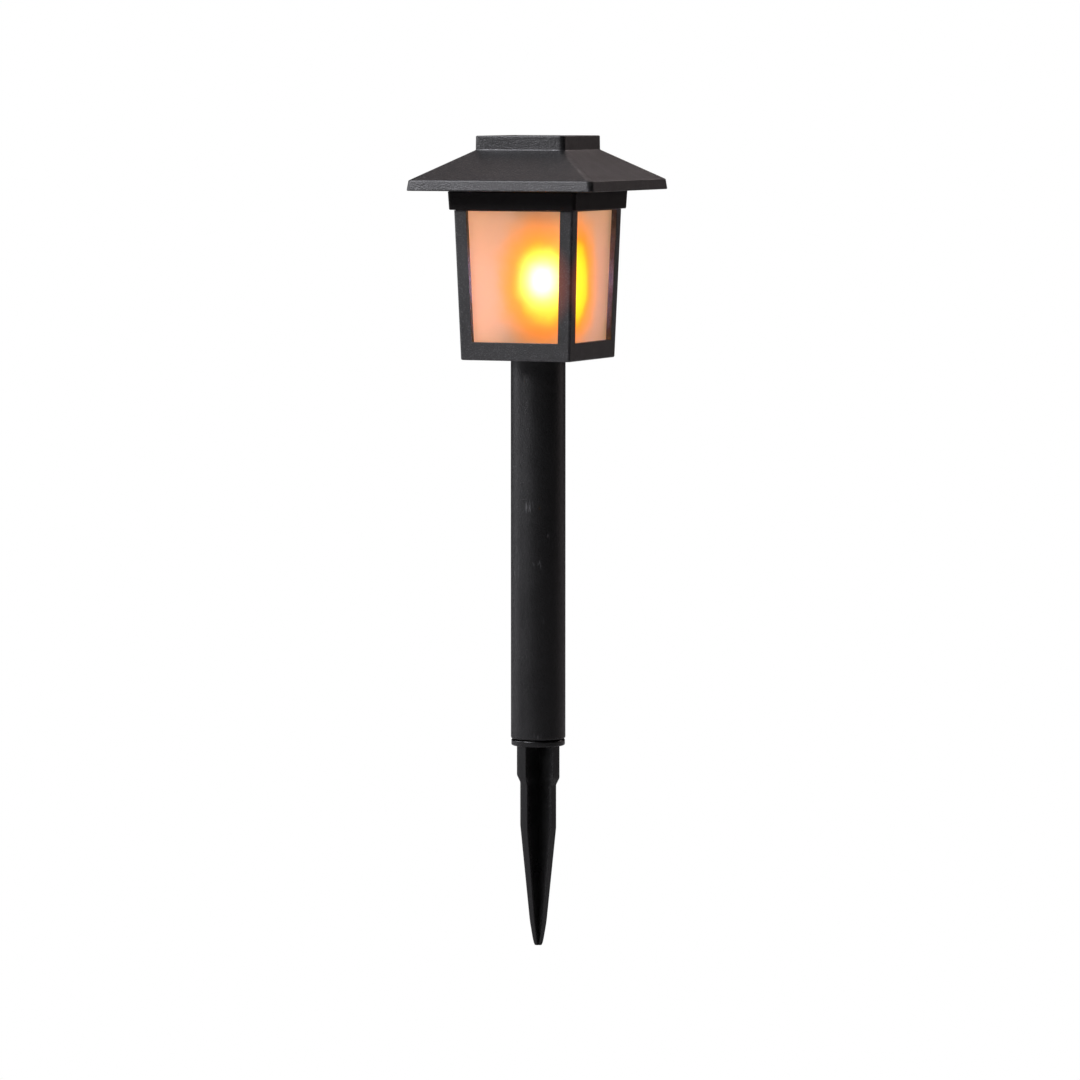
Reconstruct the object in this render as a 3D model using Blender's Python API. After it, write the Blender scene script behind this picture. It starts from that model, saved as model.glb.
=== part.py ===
"""Solar lantern on a ground stake, 230 mm tall: a stake, a pole, a lantern and a lift-off light module.

Sizes are millimetres and become metres where a mesh is made. The origin is on the pole's axis at the
soil line, the underside of the stake's flange. +Z points up and the lantern's front faces -Y.
"""

import math

import bmesh
import bpy
from mathutils import Vector

MM = 0.001  # metres in a millimetre
GAP = 0.3  # between pieces that touch or slide
THIN_GAP = 0.2  # between the thin layers of the solar panel
BLEND = 0.5  # how far joined shapes sink into each other
CUT = 1.0  # how far a cutter reaches past what it cuts

# Ground stake, measured down from the soil line
STAKE_DEPTH = 57.4
STAKE_FLANGE_INSET = 0.13  # from the pole's outside
STAKE_FLANGE_THICK = 1.7
STAKE_FLANGE_EDGE = 0.35
STAKE_SHOULDER_DEPTH = 9.1
STAKE_SHOULDER_SLOPE = 2.0
STAKE_STRAIGHT_DEPTH = 12.3
STAKE_POINT_LENGTH = 6.8
STAKE_RIB_R_HIGH = 6.95
STAKE_RIB_R_LOW = 5.95
STAKE_RIB_R_POINT = 2.6
STAKE_RIB_THICK_HIGH = 2.7
STAKE_RIB_THICK_LOW = 2.1
STAKE_RIB_THICK_POINT = 1.5
STAKE_TIP_R = 0.55
STAKE_TIP_LENGTH = 1.7
STAKE_TIP_SHARES = (1.5, 0.25)  # width and height of the blunt tip's middle ring
STAKE_TIP_RIB = (1.46, 1.35)  # reach and thickness of the ribs above the blunt tip
STAKE_RIB_TURN = -18.3  # degrees from the lantern's faces
PLUG_LENGTH = 14.0
PLUG_CHAMFER = 1.5

# Pole
POLE_R = 7.75
POLE_WALL = 1.3
POLE_LENGTH = 115.45
POLE_EDGE = 0.4
SOCKET_DEPTH = 8.0
SOCKET_WALL = 1.0
SOCKET_ROOF = 1.4

# Lantern frame, with walls that lean outwards
LANTERN_HALF_LOW = 16.67
LANTERN_HALF_HIGH = 18.1
LANTERN_HEIGHT = 42.05
LANTERN_WALL = 1.6
LANTERN_FLOOR = 1.6
LANTERN_CORNER_R = 0.7
LANTERN_EDGE = 0.4
SILL_HEIGHT = 5.0
WINDOW_HEIGHT = 36.7
POST_WIDTH = 3.8
RIM_STEP = 0.25
RIM_HEIGHT = 3.8
LINER_WALL = 1.0
LINER_TOP_GAP = 0.4

# Base of the light module: a shallow box with a skirt that covers the lantern's rim
SKIRT_WALL = 1.1
SKIRT_FLARE = 0.28
FLANGE_THICK = 1.2
BOX_WALL = 1.2
BOX_FLOOR = 1.2
BOX_LIFT = 0.9  # the box's underside above the skirt's lower edge
SKIRT_EDGE = 0.3

# Roof
EAVE_HALF_LOW = 28.42
EAVE_HALF_HIGH = 28.03
EAVE_DROP = 0.1
FASCIA_HEIGHT = 2.9
FASCIA_WALL = 1.4
FASCIA_EDGE = 0.45
ROOF_RISE = 8.3
ROOF_WALL = 1.6
ROOF_CORNER_R = 1.7
ROOF_RING_WALL = 1.4
PLINTH_HALF = 13.7
PLINTH_FOOT = 0.25
PLINTH_RISE = 4.1
PLINTH_WALL = 1.5
WELL_FLOOR = 1.2
WELL_SINK = 0.6  # how far the well's floor block stays below the rim, and into the plinth's wall
ROOF_VOID_INSET = 0.2  # from the well's side
RING_SINK = 0.75  # share of the roof's wall that the ring wall enters
BOSS_SINK = 0.3  # share of the roof's wall left above a boss

# Solar panel, a stack of thin layers in a well in the roof's plinth
PANEL_SIDE_GAP = 0.4
FOAM_THICK = 0.5
FOAM_INSET = 0.8
CELL_BOARD_THICK = 0.8
CELL_THICK = 0.25
CELL_INSET = 0.7
COVER_THICK = 0.85
PANEL_WIRE_HOLE_R = 2.0
PANEL_WIRE_Y = -7.0

# Battery and its contacts
BATTERY_R = 5.0
BATTERY_LENGTH = 20.0
BATTERY_EDGE = 0.5
BATTERY_NUB_R = 1.9
BATTERY_NUB_LENGTH = 0.8
BATTERY_X = 0.3  # its middle, off the axis
BATTERY_SIDE_ROOM = 0.7  # between the lamp's leads and the battery
BATTERY_LIFT = 0.8  # under the battery, above the box floor
CONTACT_THICK = 0.4
CONTACT_WIDTH = 8.0
CONTACT_HEIGHT = 9.3
CONTACT_WALL = 1.4
CONTACT_WALL_HEIGHT = 7.8
SPRING_LENGTH = 2.1
SPRING_WIRE_R = 0.28
SPRING_R_WIDE = 3.4
SPRING_R_NARROW = 2.0
SPRING_TURNS = 2.0
SADDLE_THICK = 1.2
SADDLE_X = 6.0
SADDLE_REACH = 0.8  # of the battery's radius, each side of its middle
SADDLE_DROP = 0.35  # of the battery's radius, below its middle
SPRING_STEPS = 40
SPRING_WIRE_SIDES = 6

# Circuit board and what is on it
BOARD_LENGTH = 19.0
BOARD_WIDTH = 12.6
BOARD_THICK = 1.0
BOARD_EDGE_Y = 0.2
BOARD_POST_R = 1.2
BOARD_POST_X = 7.4
BOARD_POST_Y = -10.4
CHIP_SIZE = (4.0, 1.5, 3.0)
CHIP_XY = (-5.5, -5.0)
COIL_R = 1.2
COIL_LENGTH = 6.0
COIL_XY = (5.5, -6.0)
COIL_END = 0.6
COIL_END_SHARE = 0.7

# Slide switch under the board, with its knob through the box floor
SWITCH_SIZE = (8.6, 3.7)
SWITCH_Y = -9.5
SWITCH_SLOT_DEPTH = 1.2
KNOB_LENGTH = 1.6
KNOB_WIDTH = 1.6
KNOB_REACH = 1.5
KNOB_TRAVEL = 2.0

# Lamp, which hangs on its leads at mid-height of the windows
LED_R = 2.5
LED_FLANGE_R = 2.9
LED_FLANGE_THICK = 1.0
LED_LENGTH = 8.6
LED_DROP = 20.1  # the lamp's middle below the skirt's lower edge
LED_X = 1.5
LEAD_R = 0.25
LEAD_PITCH = 2.54
LEAD_HOLE_R = 0.55
HOLDER_R = 5.5
HOLDER_LENGTH = 5.6
HOLDER_SPIGOT_R = 4.0
HOLDER_EDGE = 0.4
HOLDER_STAND = 0.2  # the spigot above the box floor
DOME_STEPS = 6

# Screws that hold the roof to the box
SCREW_R = 1.0
SCREW_LENGTH = 8.0
SCREW_HEAD_R = 1.8
SCREW_HEAD_THICK = 1.2
SCREW_CROSS = 0.5
SCREW_CROSS_REACH = 0.9
SCREW_CROSS_DEPTH = 0.66
SCREW_POINT = 1.2
BOSS_WALL = 0.6
WIRE_R = 0.5
WIRE_STEPS = 5
PANEL_WIRE_PITCH = 1.7

ROUND_STEPS = 48
SMALL_STEPS = 24
ARC_STEPS = 4

# Heights that follow, each in its own body's frame
POLE_Z = STAKE_FLANGE_THICK + GAP
LANTERN_Z = POLE_Z + POLE_LENGTH - SOCKET_DEPTH + GAP
MODULE_Z = LANTERN_Z + LANTERN_HEIGHT + GAP
BOX_TOP = RIM_HEIGHT + FLANGE_THICK
FLOOR_TOP = BOX_LIFT + BOX_FLOOR
ROOF_SEAT = BOX_TOP + GAP
EAVE_LOW = ROOF_SEAT - EAVE_DROP
EAVE_HIGH = EAVE_LOW + FASCIA_HEIGHT
PLINTH_LOW = EAVE_HIGH + ROOF_RISE
ROOF_TOP = PLINTH_LOW + PLINTH_RISE
BOARD_Z = ROOF_SEAT

# Widths that follow
STAKE_FLANGE_R = POLE_R - STAKE_FLANGE_INSET
POLE_BORE_R = POLE_R - POLE_WALL
SOCKET_R = POLE_R + GAP
RIM_HALF = LANTERN_HALF_HIGH - RIM_STEP
SKIRT_INNER = RIM_HALF + GAP
SKIRT_LOW = SKIRT_INNER + SKIRT_WALL
SKIRT_HIGH = SKIRT_LOW + SKIRT_FLARE
BOX_OUTER = LANTERN_HALF_HIGH - LANTERN_WALL - GAP
BOX_INNER = BOX_OUTER - BOX_WALL
BOSS_R = SCREW_R + GAP + BOSS_WALL
BOSS_XY = BOX_INNER - GAP - BOSS_R
WELL_HALF = PLINTH_HALF - PLINTH_WALL
PANEL_HALF = WELL_HALF - PANEL_SIDE_GAP
PANEL_DEPTH = FOAM_THICK + CELL_BOARD_THICK + CELL_THICK + COVER_THICK + 5 * THIN_GAP
WELL_Z = ROOF_TOP - PANEL_DEPTH
BATTERY_Y = BATTERY_R + BATTERY_SIDE_ROOM
BATTERY_Z = FLOOR_TOP + BATTERY_LIFT + BATTERY_R
BATTERY_MINUS = BATTERY_X - BATTERY_LENGTH / 2
BATTERY_PLUS = BATTERY_X + BATTERY_LENGTH / 2 + BATTERY_NUB_LENGTH
PLUS_PLATE = BATTERY_PLUS + GAP
MINUS_PLATE = BATTERY_MINUS - SPRING_LENGTH - 2 * GAP - CONTACT_THICK


def lantern_half(z):
    """Half the lantern's outer width at a height above its underside."""
    lean = (LANTERN_HALF_HIGH - LANTERN_HALF_LOW) / LANTERN_HEIGHT
    return LANTERN_HALF_LOW + lean * z


def roof_z(half):
    """Height of the roof's outer slope where the roof is this half-width."""
    steps_in = EAVE_HALF_HIGH - half
    return EAVE_HIGH + steps_in * ROOF_RISE / (EAVE_HALF_HIGH - PLINTH_HALF - PLINTH_FOOT)


def roof_wall_height():
    """The roof wall's thickness measured straight up."""
    run = EAVE_HALF_HIGH - PLINTH_HALF - PLINTH_FOOT
    return ROOF_WALL * math.hypot(run, ROOF_RISE) / run


def square_ring(half, z, corner_r):
    """A square with rounded corners, as points counter-clockwise from above."""
    points = []
    for quarter in range(4):
        turn = quarter * math.pi / 2
        for step in range(ARC_STEPS + 1):
            angle = step * math.pi / 2 / ARC_STEPS
            x = half - corner_r + corner_r * math.cos(angle)
            y = half - corner_r + corner_r * math.sin(angle)
            points.append((
                x * math.cos(turn) - y * math.sin(turn),
                x * math.sin(turn) + y * math.cos(turn),
                z,
            ))
    return points


def round_ring(radius, z, steps=ROUND_STEPS):
    angles = [2 * math.pi * step / steps for step in range(steps)]
    return [(radius * math.cos(a), radius * math.sin(a), z) for a in angles]


def cross_ring(reach, thick, z):
    """A plus sign with four arms, as points counter-clockwise from above."""
    half = thick / 2
    points = []
    for quarter in range(4):
        turn = quarter * math.pi / 2 + math.radians(STAKE_RIB_TURN)
        for x, y in ((reach, -half), (reach, half), (half, half)):
            points.append((
                x * math.cos(turn) - y * math.sin(turn),
                x * math.sin(turn) + y * math.cos(turn),
                z,
            ))
    return points


def moved(ring, x, y):
    return [(px + x, py + y, pz) for px, py, pz in ring]


def loft(shape, rings, closed=False):
    """Skins a list of rings into the bmesh, and caps both ends unless the rings close on themselves."""
    loops = [[shape.verts.new(Vector(point) * MM) for point in ring] for ring in rings]
    following = loops[1:] + loops[:1] if closed else loops[1:]
    for lower, upper in zip(loops, following):
        count = len(lower)
        for i in range(count):
            j = (i + 1) % count
            shape.faces.new((lower[i], lower[j], upper[j], upper[i]))
    if not closed:
        shape.faces.new(loops[0])
        shape.faces.new(loops[-1])


def box(shape, low, high):
    """A plain block between two corners."""
    corners = [(low[0], low[1]), (high[0], low[1]), (high[0], high[1]), (low[0], high[1])]
    loft(shape, [[(x, y, z) for x, y in corners] for z in (low[2], high[2])])


def cylinder(shape, radius, low, high, x=0.0, y=0.0, steps=SMALL_STEPS):
    loft(shape, [moved(round_ring(radius, z, steps), x, y) for z in (low, high)])


def mesh_of(name, shape):
    """Turns a bmesh into mesh data with its faces outwards and smooth round sides."""
    bmesh.ops.recalc_face_normals(shape, faces=shape.faces)
    data = bpy.data.meshes.new(name)
    shape.to_mesh(data)
    shape.free()
    data.shade_smooth()
    data.set_sharp_from_angle(angle=math.radians(32))
    return data


def material(name, color, roughness, metallic=0.0, alpha=1.0, emission=0.0):
    made = bpy.data.materials.new(name)
    made.use_nodes = True
    made.diffuse_color = (*color, alpha)
    shader = made.node_tree.nodes["Principled BSDF"]
    shader.inputs["Base Color"].default_value = (*color, 1.0)
    shader.inputs["Roughness"].default_value = roughness
    shader.inputs["Metallic"].default_value = metallic
    shader.inputs["Alpha"].default_value = alpha
    shader.inputs["Emission Color"].default_value = (*color, 1.0)
    shader.inputs["Emission Strength"].default_value = emission
    return made


def place(name, data, finish, parent, at=(0.0, 0.0, 0.0), turn=(0.0, 0.0, 0.0)):
    """Adds a piece with its own material, at a place and a turn in degrees in its parent's frame."""
    piece = bpy.data.objects.new(name, data)
    if not data.materials:
        data.materials.append(finish)
    piece.parent = parent
    piece.location = Vector(at) * MM
    piece.rotation_euler = [math.radians(angle) for angle in turn]
    bpy.context.scene.collection.objects.link(piece)
    return piece


def piece_of(name, shape, finish, parent, at=(0.0, 0.0, 0.0), turn=(0.0, 0.0, 0.0)):
    return place(name, mesh_of(name, shape), finish, parent, at, turn)


def combine(piece, operation, shape, label):
    """Joins a shape to a piece, or cuts it out, with a Boolean and a hidden helper object."""
    helper = bpy.data.objects.new(f"{piece.name}_{label}", mesh_of(label, shape))
    helper.parent = piece.parent
    helper.location = piece.location
    helper.rotation_euler = piece.rotation_euler
    helper.hide_render = True
    helper.display_type = "WIRE"
    bpy.context.scene.collection.objects.link(helper)
    modifier = piece.modifiers.new(label, "BOOLEAN")
    modifier.operation = operation
    modifier.solver = "EXACT"
    modifier.object = helper


def axis_empty(name, parent, z):
    """The frame of one moving body: an empty on the joint's axis."""
    empty = bpy.data.objects.new(name, None)
    empty.empty_display_size = 10 * MM
    empty.parent = parent
    empty.location = (0, 0, z * MM)
    bpy.context.scene.collection.objects.link(empty)
    return empty


def clear_scene():
    for old in list(bpy.data.objects):
        bpy.data.objects.remove(old, do_unlink=True)


# The ground stake


def ground_stake(parent):
    """Cross ribs that taper to a point, a round flange, and a ribbed plug that enters the pole."""
    shape = bmesh.new()
    edge = STAKE_FLANGE_EDGE
    loft(shape, [
        round_ring(STAKE_FLANGE_R - edge, 0),
        round_ring(STAKE_FLANGE_R, edge),
        round_ring(STAKE_FLANGE_R, STAKE_FLANGE_THICK - edge),
        round_ring(STAKE_FLANGE_R - edge, STAKE_FLANGE_THICK),
    ])
    stake = piece_of("ground_stake", shape, material("stake_black", (0.016, 0.016, 0.017), 0.32), parent)
    shoulder = STAKE_SHOULDER_DEPTH
    slope_end = shoulder + STAKE_SHOULDER_SLOPE
    straight_end = slope_end + STAKE_STRAIGHT_DEPTH
    point = STAKE_DEPTH - STAKE_POINT_LENGTH
    wide, high = STAKE_TIP_SHARES
    middle_r = wide * STAKE_TIP_R
    tip_reach, tip_thick = STAKE_TIP_RIB
    ribs = bmesh.new()
    loft(ribs, [
        cross_ring(STAKE_TIP_R, STAKE_TIP_R, -STAKE_DEPTH),
        cross_ring(middle_r, middle_r, high * STAKE_TIP_LENGTH - STAKE_DEPTH),
        cross_ring(tip_reach, tip_thick, STAKE_TIP_LENGTH - STAKE_DEPTH),
        cross_ring(STAKE_RIB_R_POINT, STAKE_RIB_THICK_POINT, -point),
        cross_ring(STAKE_RIB_R_LOW, STAKE_RIB_THICK_LOW, -straight_end),
        cross_ring(STAKE_RIB_R_LOW, STAKE_RIB_THICK_LOW, -slope_end),
        cross_ring(STAKE_RIB_R_HIGH, STAKE_RIB_THICK_HIGH, -shoulder),
        cross_ring(STAKE_RIB_R_HIGH, STAKE_RIB_THICK_HIGH, BLEND),
    ])
    combine(stake, "UNION", ribs, "ribs")
    plug_top = STAKE_FLANGE_THICK + PLUG_LENGTH
    corner_r = POLE_BORE_R - GAP
    reach = math.sqrt(corner_r**2 - (STAKE_RIB_THICK_HIGH / 2) ** 2)
    plug = bmesh.new()
    loft(plug, [
        cross_ring(reach, STAKE_RIB_THICK_HIGH, STAKE_FLANGE_THICK - BLEND),
        cross_ring(reach, STAKE_RIB_THICK_HIGH, plug_top - PLUG_CHAMFER),
        cross_ring(reach - PLUG_CHAMFER / 2, STAKE_RIB_THICK_HIGH, plug_top),
    ])
    combine(stake, "UNION", plug, "plug")


# The pole


def pole_tube(parent):
    """A plain round tube with softened ends."""
    shape = bmesh.new()
    loft(shape, [
        round_ring(POLE_R - POLE_EDGE, 0),
        round_ring(POLE_R, POLE_EDGE),
        round_ring(POLE_R, POLE_LENGTH - POLE_EDGE),
        round_ring(POLE_R - POLE_EDGE, POLE_LENGTH),
        round_ring(POLE_BORE_R, POLE_LENGTH),
        round_ring(POLE_BORE_R, 0),
    ], closed=True)
    piece_of("pole_tube", shape, material("pole_black", (0.02, 0.02, 0.021), 0.45), parent)


# The lantern


def window_cutter(side):
    """A slab that follows the leaning wall and leaves the corner posts and the sill."""
    shape = bmesh.new()
    rings = []
    for z in (SILL_HEIGHT, SILL_HEIGHT + WINDOW_HEIGHT):
        half = lantern_half(z)
        wide = half - POST_WIDTH
        near = half + CUT
        far = half - LANTERN_WALL - CUT
        corners = ((-wide, -near), (wide, -near), (wide, -far), (-wide, -far))
        turn = side * math.pi / 2
        rings.append([
            (x * math.cos(turn) - y * math.sin(turn), x * math.sin(turn) + y * math.cos(turn), z)
            for x, y in corners
        ])
    loft(shape, rings)
    return shape


def lantern_frame(parent):
    """Four corner posts on a floor, with a thin rim on top and a socket for the pole underneath."""
    rim_top = LANTERN_HEIGHT + RIM_HEIGHT
    edge = LANTERN_EDGE
    shape = bmesh.new()
    loft(shape, [
        square_ring(LANTERN_HALF_LOW - edge, 0, LANTERN_CORNER_R),
        square_ring(lantern_half(edge), edge, LANTERN_CORNER_R),
        square_ring(LANTERN_HALF_HIGH, LANTERN_HEIGHT, LANTERN_CORNER_R),
        square_ring(RIM_HALF, LANTERN_HEIGHT, LANTERN_CORNER_R),
        square_ring(RIM_HALF, rim_top, LANTERN_CORNER_R),
    ])
    frame = piece_of("lantern_frame", shape, material("lantern_black", (0.02, 0.02, 0.021), 0.5), parent)
    cavity = bmesh.new()
    loft(cavity, [
        square_ring(lantern_half(z) - LANTERN_WALL, z, LANTERN_CORNER_R)
        for z in (LANTERN_FLOOR, rim_top + CUT)
    ])
    combine(frame, "DIFFERENCE", cavity, "cavity")
    socket = bmesh.new()
    socket_top = SOCKET_DEPTH + SOCKET_ROOF
    cylinder(socket, SOCKET_R + SOCKET_WALL, BLEND, socket_top, steps=ROUND_STEPS)
    combine(frame, "UNION", socket, "socket")
    bore = bmesh.new()
    cylinder(bore, SOCKET_R, -CUT, SOCKET_DEPTH, steps=ROUND_STEPS)
    combine(frame, "DIFFERENCE", bore, "bore")
    for side in range(4):
        combine(frame, "DIFFERENCE", window_cutter(side), f"window_{side + 1}")


def window_liner(parent):
    """A frosted four-sided sleeve that drops in behind the windows."""
    low = LANTERN_FLOOR + GAP
    high = LANTERN_HEIGHT + GAP + BOX_LIFT - LINER_TOP_GAP
    inset = LANTERN_WALL + GAP
    outer_corner = LANTERN_CORNER_R + GAP
    shape = bmesh.new()
    loft(shape, [
        square_ring(lantern_half(low) - inset, low, outer_corner),
        square_ring(lantern_half(high) - inset, high, outer_corner),
        square_ring(lantern_half(high) - inset - LINER_WALL, high, LANTERN_CORNER_R),
        square_ring(lantern_half(low) - inset - LINER_WALL, low, LANTERN_CORNER_R),
    ], closed=True)
    finish = material("frosted_amber", (0.85, 0.38, 0.16), 0.55, emission=0.6)
    piece_of("window_liner", shape, finish, parent)


# The light module's box and roof


def box_fittings():
    """Saddles under the battery, walls behind its contacts, and posts under the board."""
    saddles = bmesh.new()
    reach = SADDLE_REACH * BATTERY_R
    for x in (-SADDLE_X, SADDLE_X):
        box(
            saddles,
            (x - SADDLE_THICK / 2, BATTERY_Y - reach, FLOOR_TOP - BLEND),
            (x + SADDLE_THICK / 2, BATTERY_Y + reach, BATTERY_Z - SADDLE_DROP * BATTERY_R),
        )
    walls = bmesh.new()
    for start in (MINUS_PLATE - GAP - CONTACT_WALL, PLUS_PLATE + CONTACT_THICK + GAP):
        box(
            walls,
            (start, BATTERY_Y - CONTACT_WIDTH / 2, FLOOR_TOP - BLEND),
            (start + CONTACT_WALL, BATTERY_Y + CONTACT_WIDTH / 2, FLOOR_TOP + CONTACT_WALL_HEIGHT),
        )
    posts = bmesh.new()
    for x in (-BOARD_POST_X, BOARD_POST_X):
        cylinder(posts, BOARD_POST_R, FLOOR_TOP - BLEND, BOARD_Z - GAP, x, BOARD_POST_Y)
    return saddles, walls, posts


def base_holes():
    """Holes in the box floor: four for screws, one for the lamp's holder, a slot for the knob."""
    shape = bmesh.new()
    low, high = BOX_LIFT - CUT, FLOOR_TOP + CUT
    for x in (-BOSS_XY, BOSS_XY):
        for y in (-BOSS_XY, BOSS_XY):
            cylinder(shape, SCREW_R + GAP, low, high, x, y)
    cylinder(shape, HOLDER_SPIGOT_R + GAP, low, high)
    reach = (KNOB_LENGTH + KNOB_TRAVEL) / 2 + GAP
    side = KNOB_WIDTH / 2 + GAP
    box(shape, (-reach, SWITCH_Y - side, low), (reach, SWITCH_Y + side, high))
    return shape


def module_base(parent):
    """The box that closes the module below, with the skirt that slips over the lantern's rim."""
    corner = LANTERN_CORNER_R
    edge = SKIRT_EDGE
    shape = bmesh.new()
    loft(shape, [
        square_ring(BOX_INNER, FLOOR_TOP, corner),
        square_ring(BOX_INNER, BOX_TOP, corner),
        square_ring(SKIRT_HIGH, BOX_TOP, corner + GAP),
        square_ring(SKIRT_LOW, edge, corner + GAP),
        square_ring(SKIRT_LOW - edge, 0, corner + GAP),
        square_ring(SKIRT_INNER, 0, corner + GAP),
        square_ring(SKIRT_INNER, RIM_HEIGHT, corner + GAP),
        square_ring(BOX_OUTER, RIM_HEIGHT, corner + GAP),
        square_ring(BOX_OUTER, BOX_LIFT, corner + GAP),
    ])
    base = piece_of("module_base", shape, material("base_black", (0.018, 0.018, 0.019), 0.5), parent)
    saddles, walls, posts = box_fittings()
    combine(base, "UNION", saddles, "saddles")
    combine(base, "UNION", walls, "contact_walls")
    combine(base, "UNION", posts, "board_posts")
    cradle = bmesh.new()
    reach = SADDLE_X + SADDLE_THICK
    cylinder(cradle, BATTERY_R + GAP, -reach, reach, steps=ROUND_STEPS)
    turn_along_x(cradle, BATTERY_Y, BATTERY_Z)
    combine(base, "DIFFERENCE", cradle, "cradle")
    combine(base, "DIFFERENCE", base_holes(), "holes")


def turn_along_x(shape, y, z):
    """Lays an upright shape down along X, at a height and a depth."""
    for vertex in shape.verts:
        px, py, pz = vertex.co
        vertex.co = (pz, py + y * MM, z * MM - px)


def roof_outer():
    """Fascia, slopes and plinth as one solid."""
    shape = bmesh.new()
    slope = math.atan2(ROOF_RISE, EAVE_HALF_HIGH - PLINTH_HALF - PLINTH_FOOT)
    loft(shape, [
        square_ring(EAVE_HALF_LOW, EAVE_LOW, ROOF_CORNER_R),
        square_ring(EAVE_HALF_HIGH, EAVE_HIGH - FASCIA_EDGE, ROOF_CORNER_R),
        square_ring(EAVE_HALF_HIGH - FASCIA_EDGE * math.cos(slope), roof_z(EAVE_HALF_HIGH
                    - FASCIA_EDGE * math.cos(slope)), ROOF_CORNER_R),
        square_ring(PLINTH_HALF + PLINTH_FOOT, PLINTH_LOW, ROOF_CORNER_R),
        square_ring(PLINTH_HALF, PLINTH_LOW + PLINTH_FOOT, ROOF_CORNER_R),
        square_ring(PLINTH_HALF, ROOF_TOP - PLINTH_FOOT, ROOF_CORNER_R),
        square_ring(PLINTH_HALF - PLINTH_FOOT, ROOF_TOP, ROOF_CORNER_R),
    ])
    return shape


def roof_void():
    """The hollow under the slopes, open below."""
    shape = bmesh.new()
    inner_low = EAVE_HALF_LOW - FASCIA_WALL
    inner_high = EAVE_HALF_HIGH - FASCIA_WALL
    inner_top = WELL_HALF - ROOF_VOID_INSET
    loft(shape, [
        square_ring(inner_low, EAVE_LOW - CUT, ROOF_CORNER_R),
        square_ring(inner_high, roof_z(inner_high) - roof_wall_height(), ROOF_CORNER_R),
        square_ring(inner_top, roof_z(inner_top) - roof_wall_height(), ROOF_CORNER_R),
        square_ring(inner_top, ROOF_TOP - CUT, ROOF_CORNER_R),
    ])
    return shape


def roof_cap(parent):
    """The roof: a thin shell with a well for the solar panel, a ring wall and four screw bosses."""
    roof = piece_of("roof_cap", roof_outer(), material("roof_black", (0.024, 0.024, 0.025), 0.5), parent)
    combine(roof, "DIFFERENCE", roof_void(), "void")
    well_low = WELL_Z - WELL_FLOOR
    floor = bmesh.new()
    floor_half = WELL_HALF + WELL_SINK
    loft(floor, [square_ring(floor_half, z, ROOF_CORNER_R) for z in (well_low, ROOF_TOP - WELL_SINK)])
    combine(roof, "UNION", floor, "well_floor")
    ring = bmesh.new()
    ring_inner = SKIRT_HIGH - ROOF_RING_WALL
    ring_top = roof_z(ring_inner) - RING_SINK * roof_wall_height()
    loft(ring, [
        square_ring(SKIRT_HIGH, ROOF_SEAT, LANTERN_CORNER_R + GAP),
        square_ring(SKIRT_HIGH, ring_top, LANTERN_CORNER_R + GAP),
        square_ring(ring_inner, ring_top, LANTERN_CORNER_R),
        square_ring(ring_inner, ROOF_SEAT, LANTERN_CORNER_R),
    ], closed=True)
    combine(roof, "UNION", ring, "ring")
    bosses = bmesh.new()
    bores = bmesh.new()
    boss_top = roof_z(BOSS_XY + BOSS_R) - BOSS_SINK * roof_wall_height()
    bore_top = BOX_LIFT + SCREW_LENGTH
    for x in (-BOSS_XY, BOSS_XY):
        for y in (-BOSS_XY, BOSS_XY):
            cylinder(bosses, BOSS_R, FLOOR_TOP + GAP, boss_top, x, y)
            cylinder(bores, SCREW_R + GAP, FLOOR_TOP - CUT, bore_top, x, y)
    combine(roof, "UNION", bosses, "bosses")
    cylinder(bores, PANEL_WIRE_HOLE_R, well_low - CUT, WELL_Z + CUT, 0, PANEL_WIRE_Y)
    combine(roof, "DIFFERENCE", bores, "bores")
    well = bmesh.new()
    loft(well, [square_ring(WELL_HALF, z, LANTERN_CORNER_R) for z in (WELL_Z, ROOF_TOP + CUT)])
    combine(roof, "DIFFERENCE", well, "well")


# The solar panel


def solar_panel(parent):
    """Foam, circuit backing, cell and clear cover, one above the other in the well."""
    foam = material("foam_grey", (0.12, 0.12, 0.12), 0.95)
    backing = material("panel_board", (0.02, 0.06, 0.04), 0.6)
    silicon = material("solar_blue", (0.01, 0.015, 0.05), 0.25)
    clear = material("clear_cover", (0.7, 0.75, 0.8), 0.08, alpha=0.35)
    layers = (
        ("cell_foam", PANEL_HALF - FOAM_INSET, FOAM_THICK, foam),
        ("cell_board", PANEL_HALF, CELL_BOARD_THICK, backing),
        ("solar_cell", PANEL_HALF - CELL_INSET, CELL_THICK, silicon),
        ("cell_cover", PANEL_HALF, COVER_THICK, clear),
    )
    z = WELL_Z + THIN_GAP
    for name, half, thick, finish in layers:
        shape = bmesh.new()
        loft(shape, [square_ring(half, level, 0.3) for level in (0, thick)])
        layer = piece_of(name, shape, finish, parent, (0, 0, z))
        if name == "cell_foam":
            hole = bmesh.new()
            cylinder(hole, PANEL_WIRE_HOLE_R, -CUT, FOAM_THICK + CUT, 0, PANEL_WIRE_Y)
            combine(layer, "DIFFERENCE", hole, "wire_hole")
        z += thick + THIN_GAP


# The battery


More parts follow.
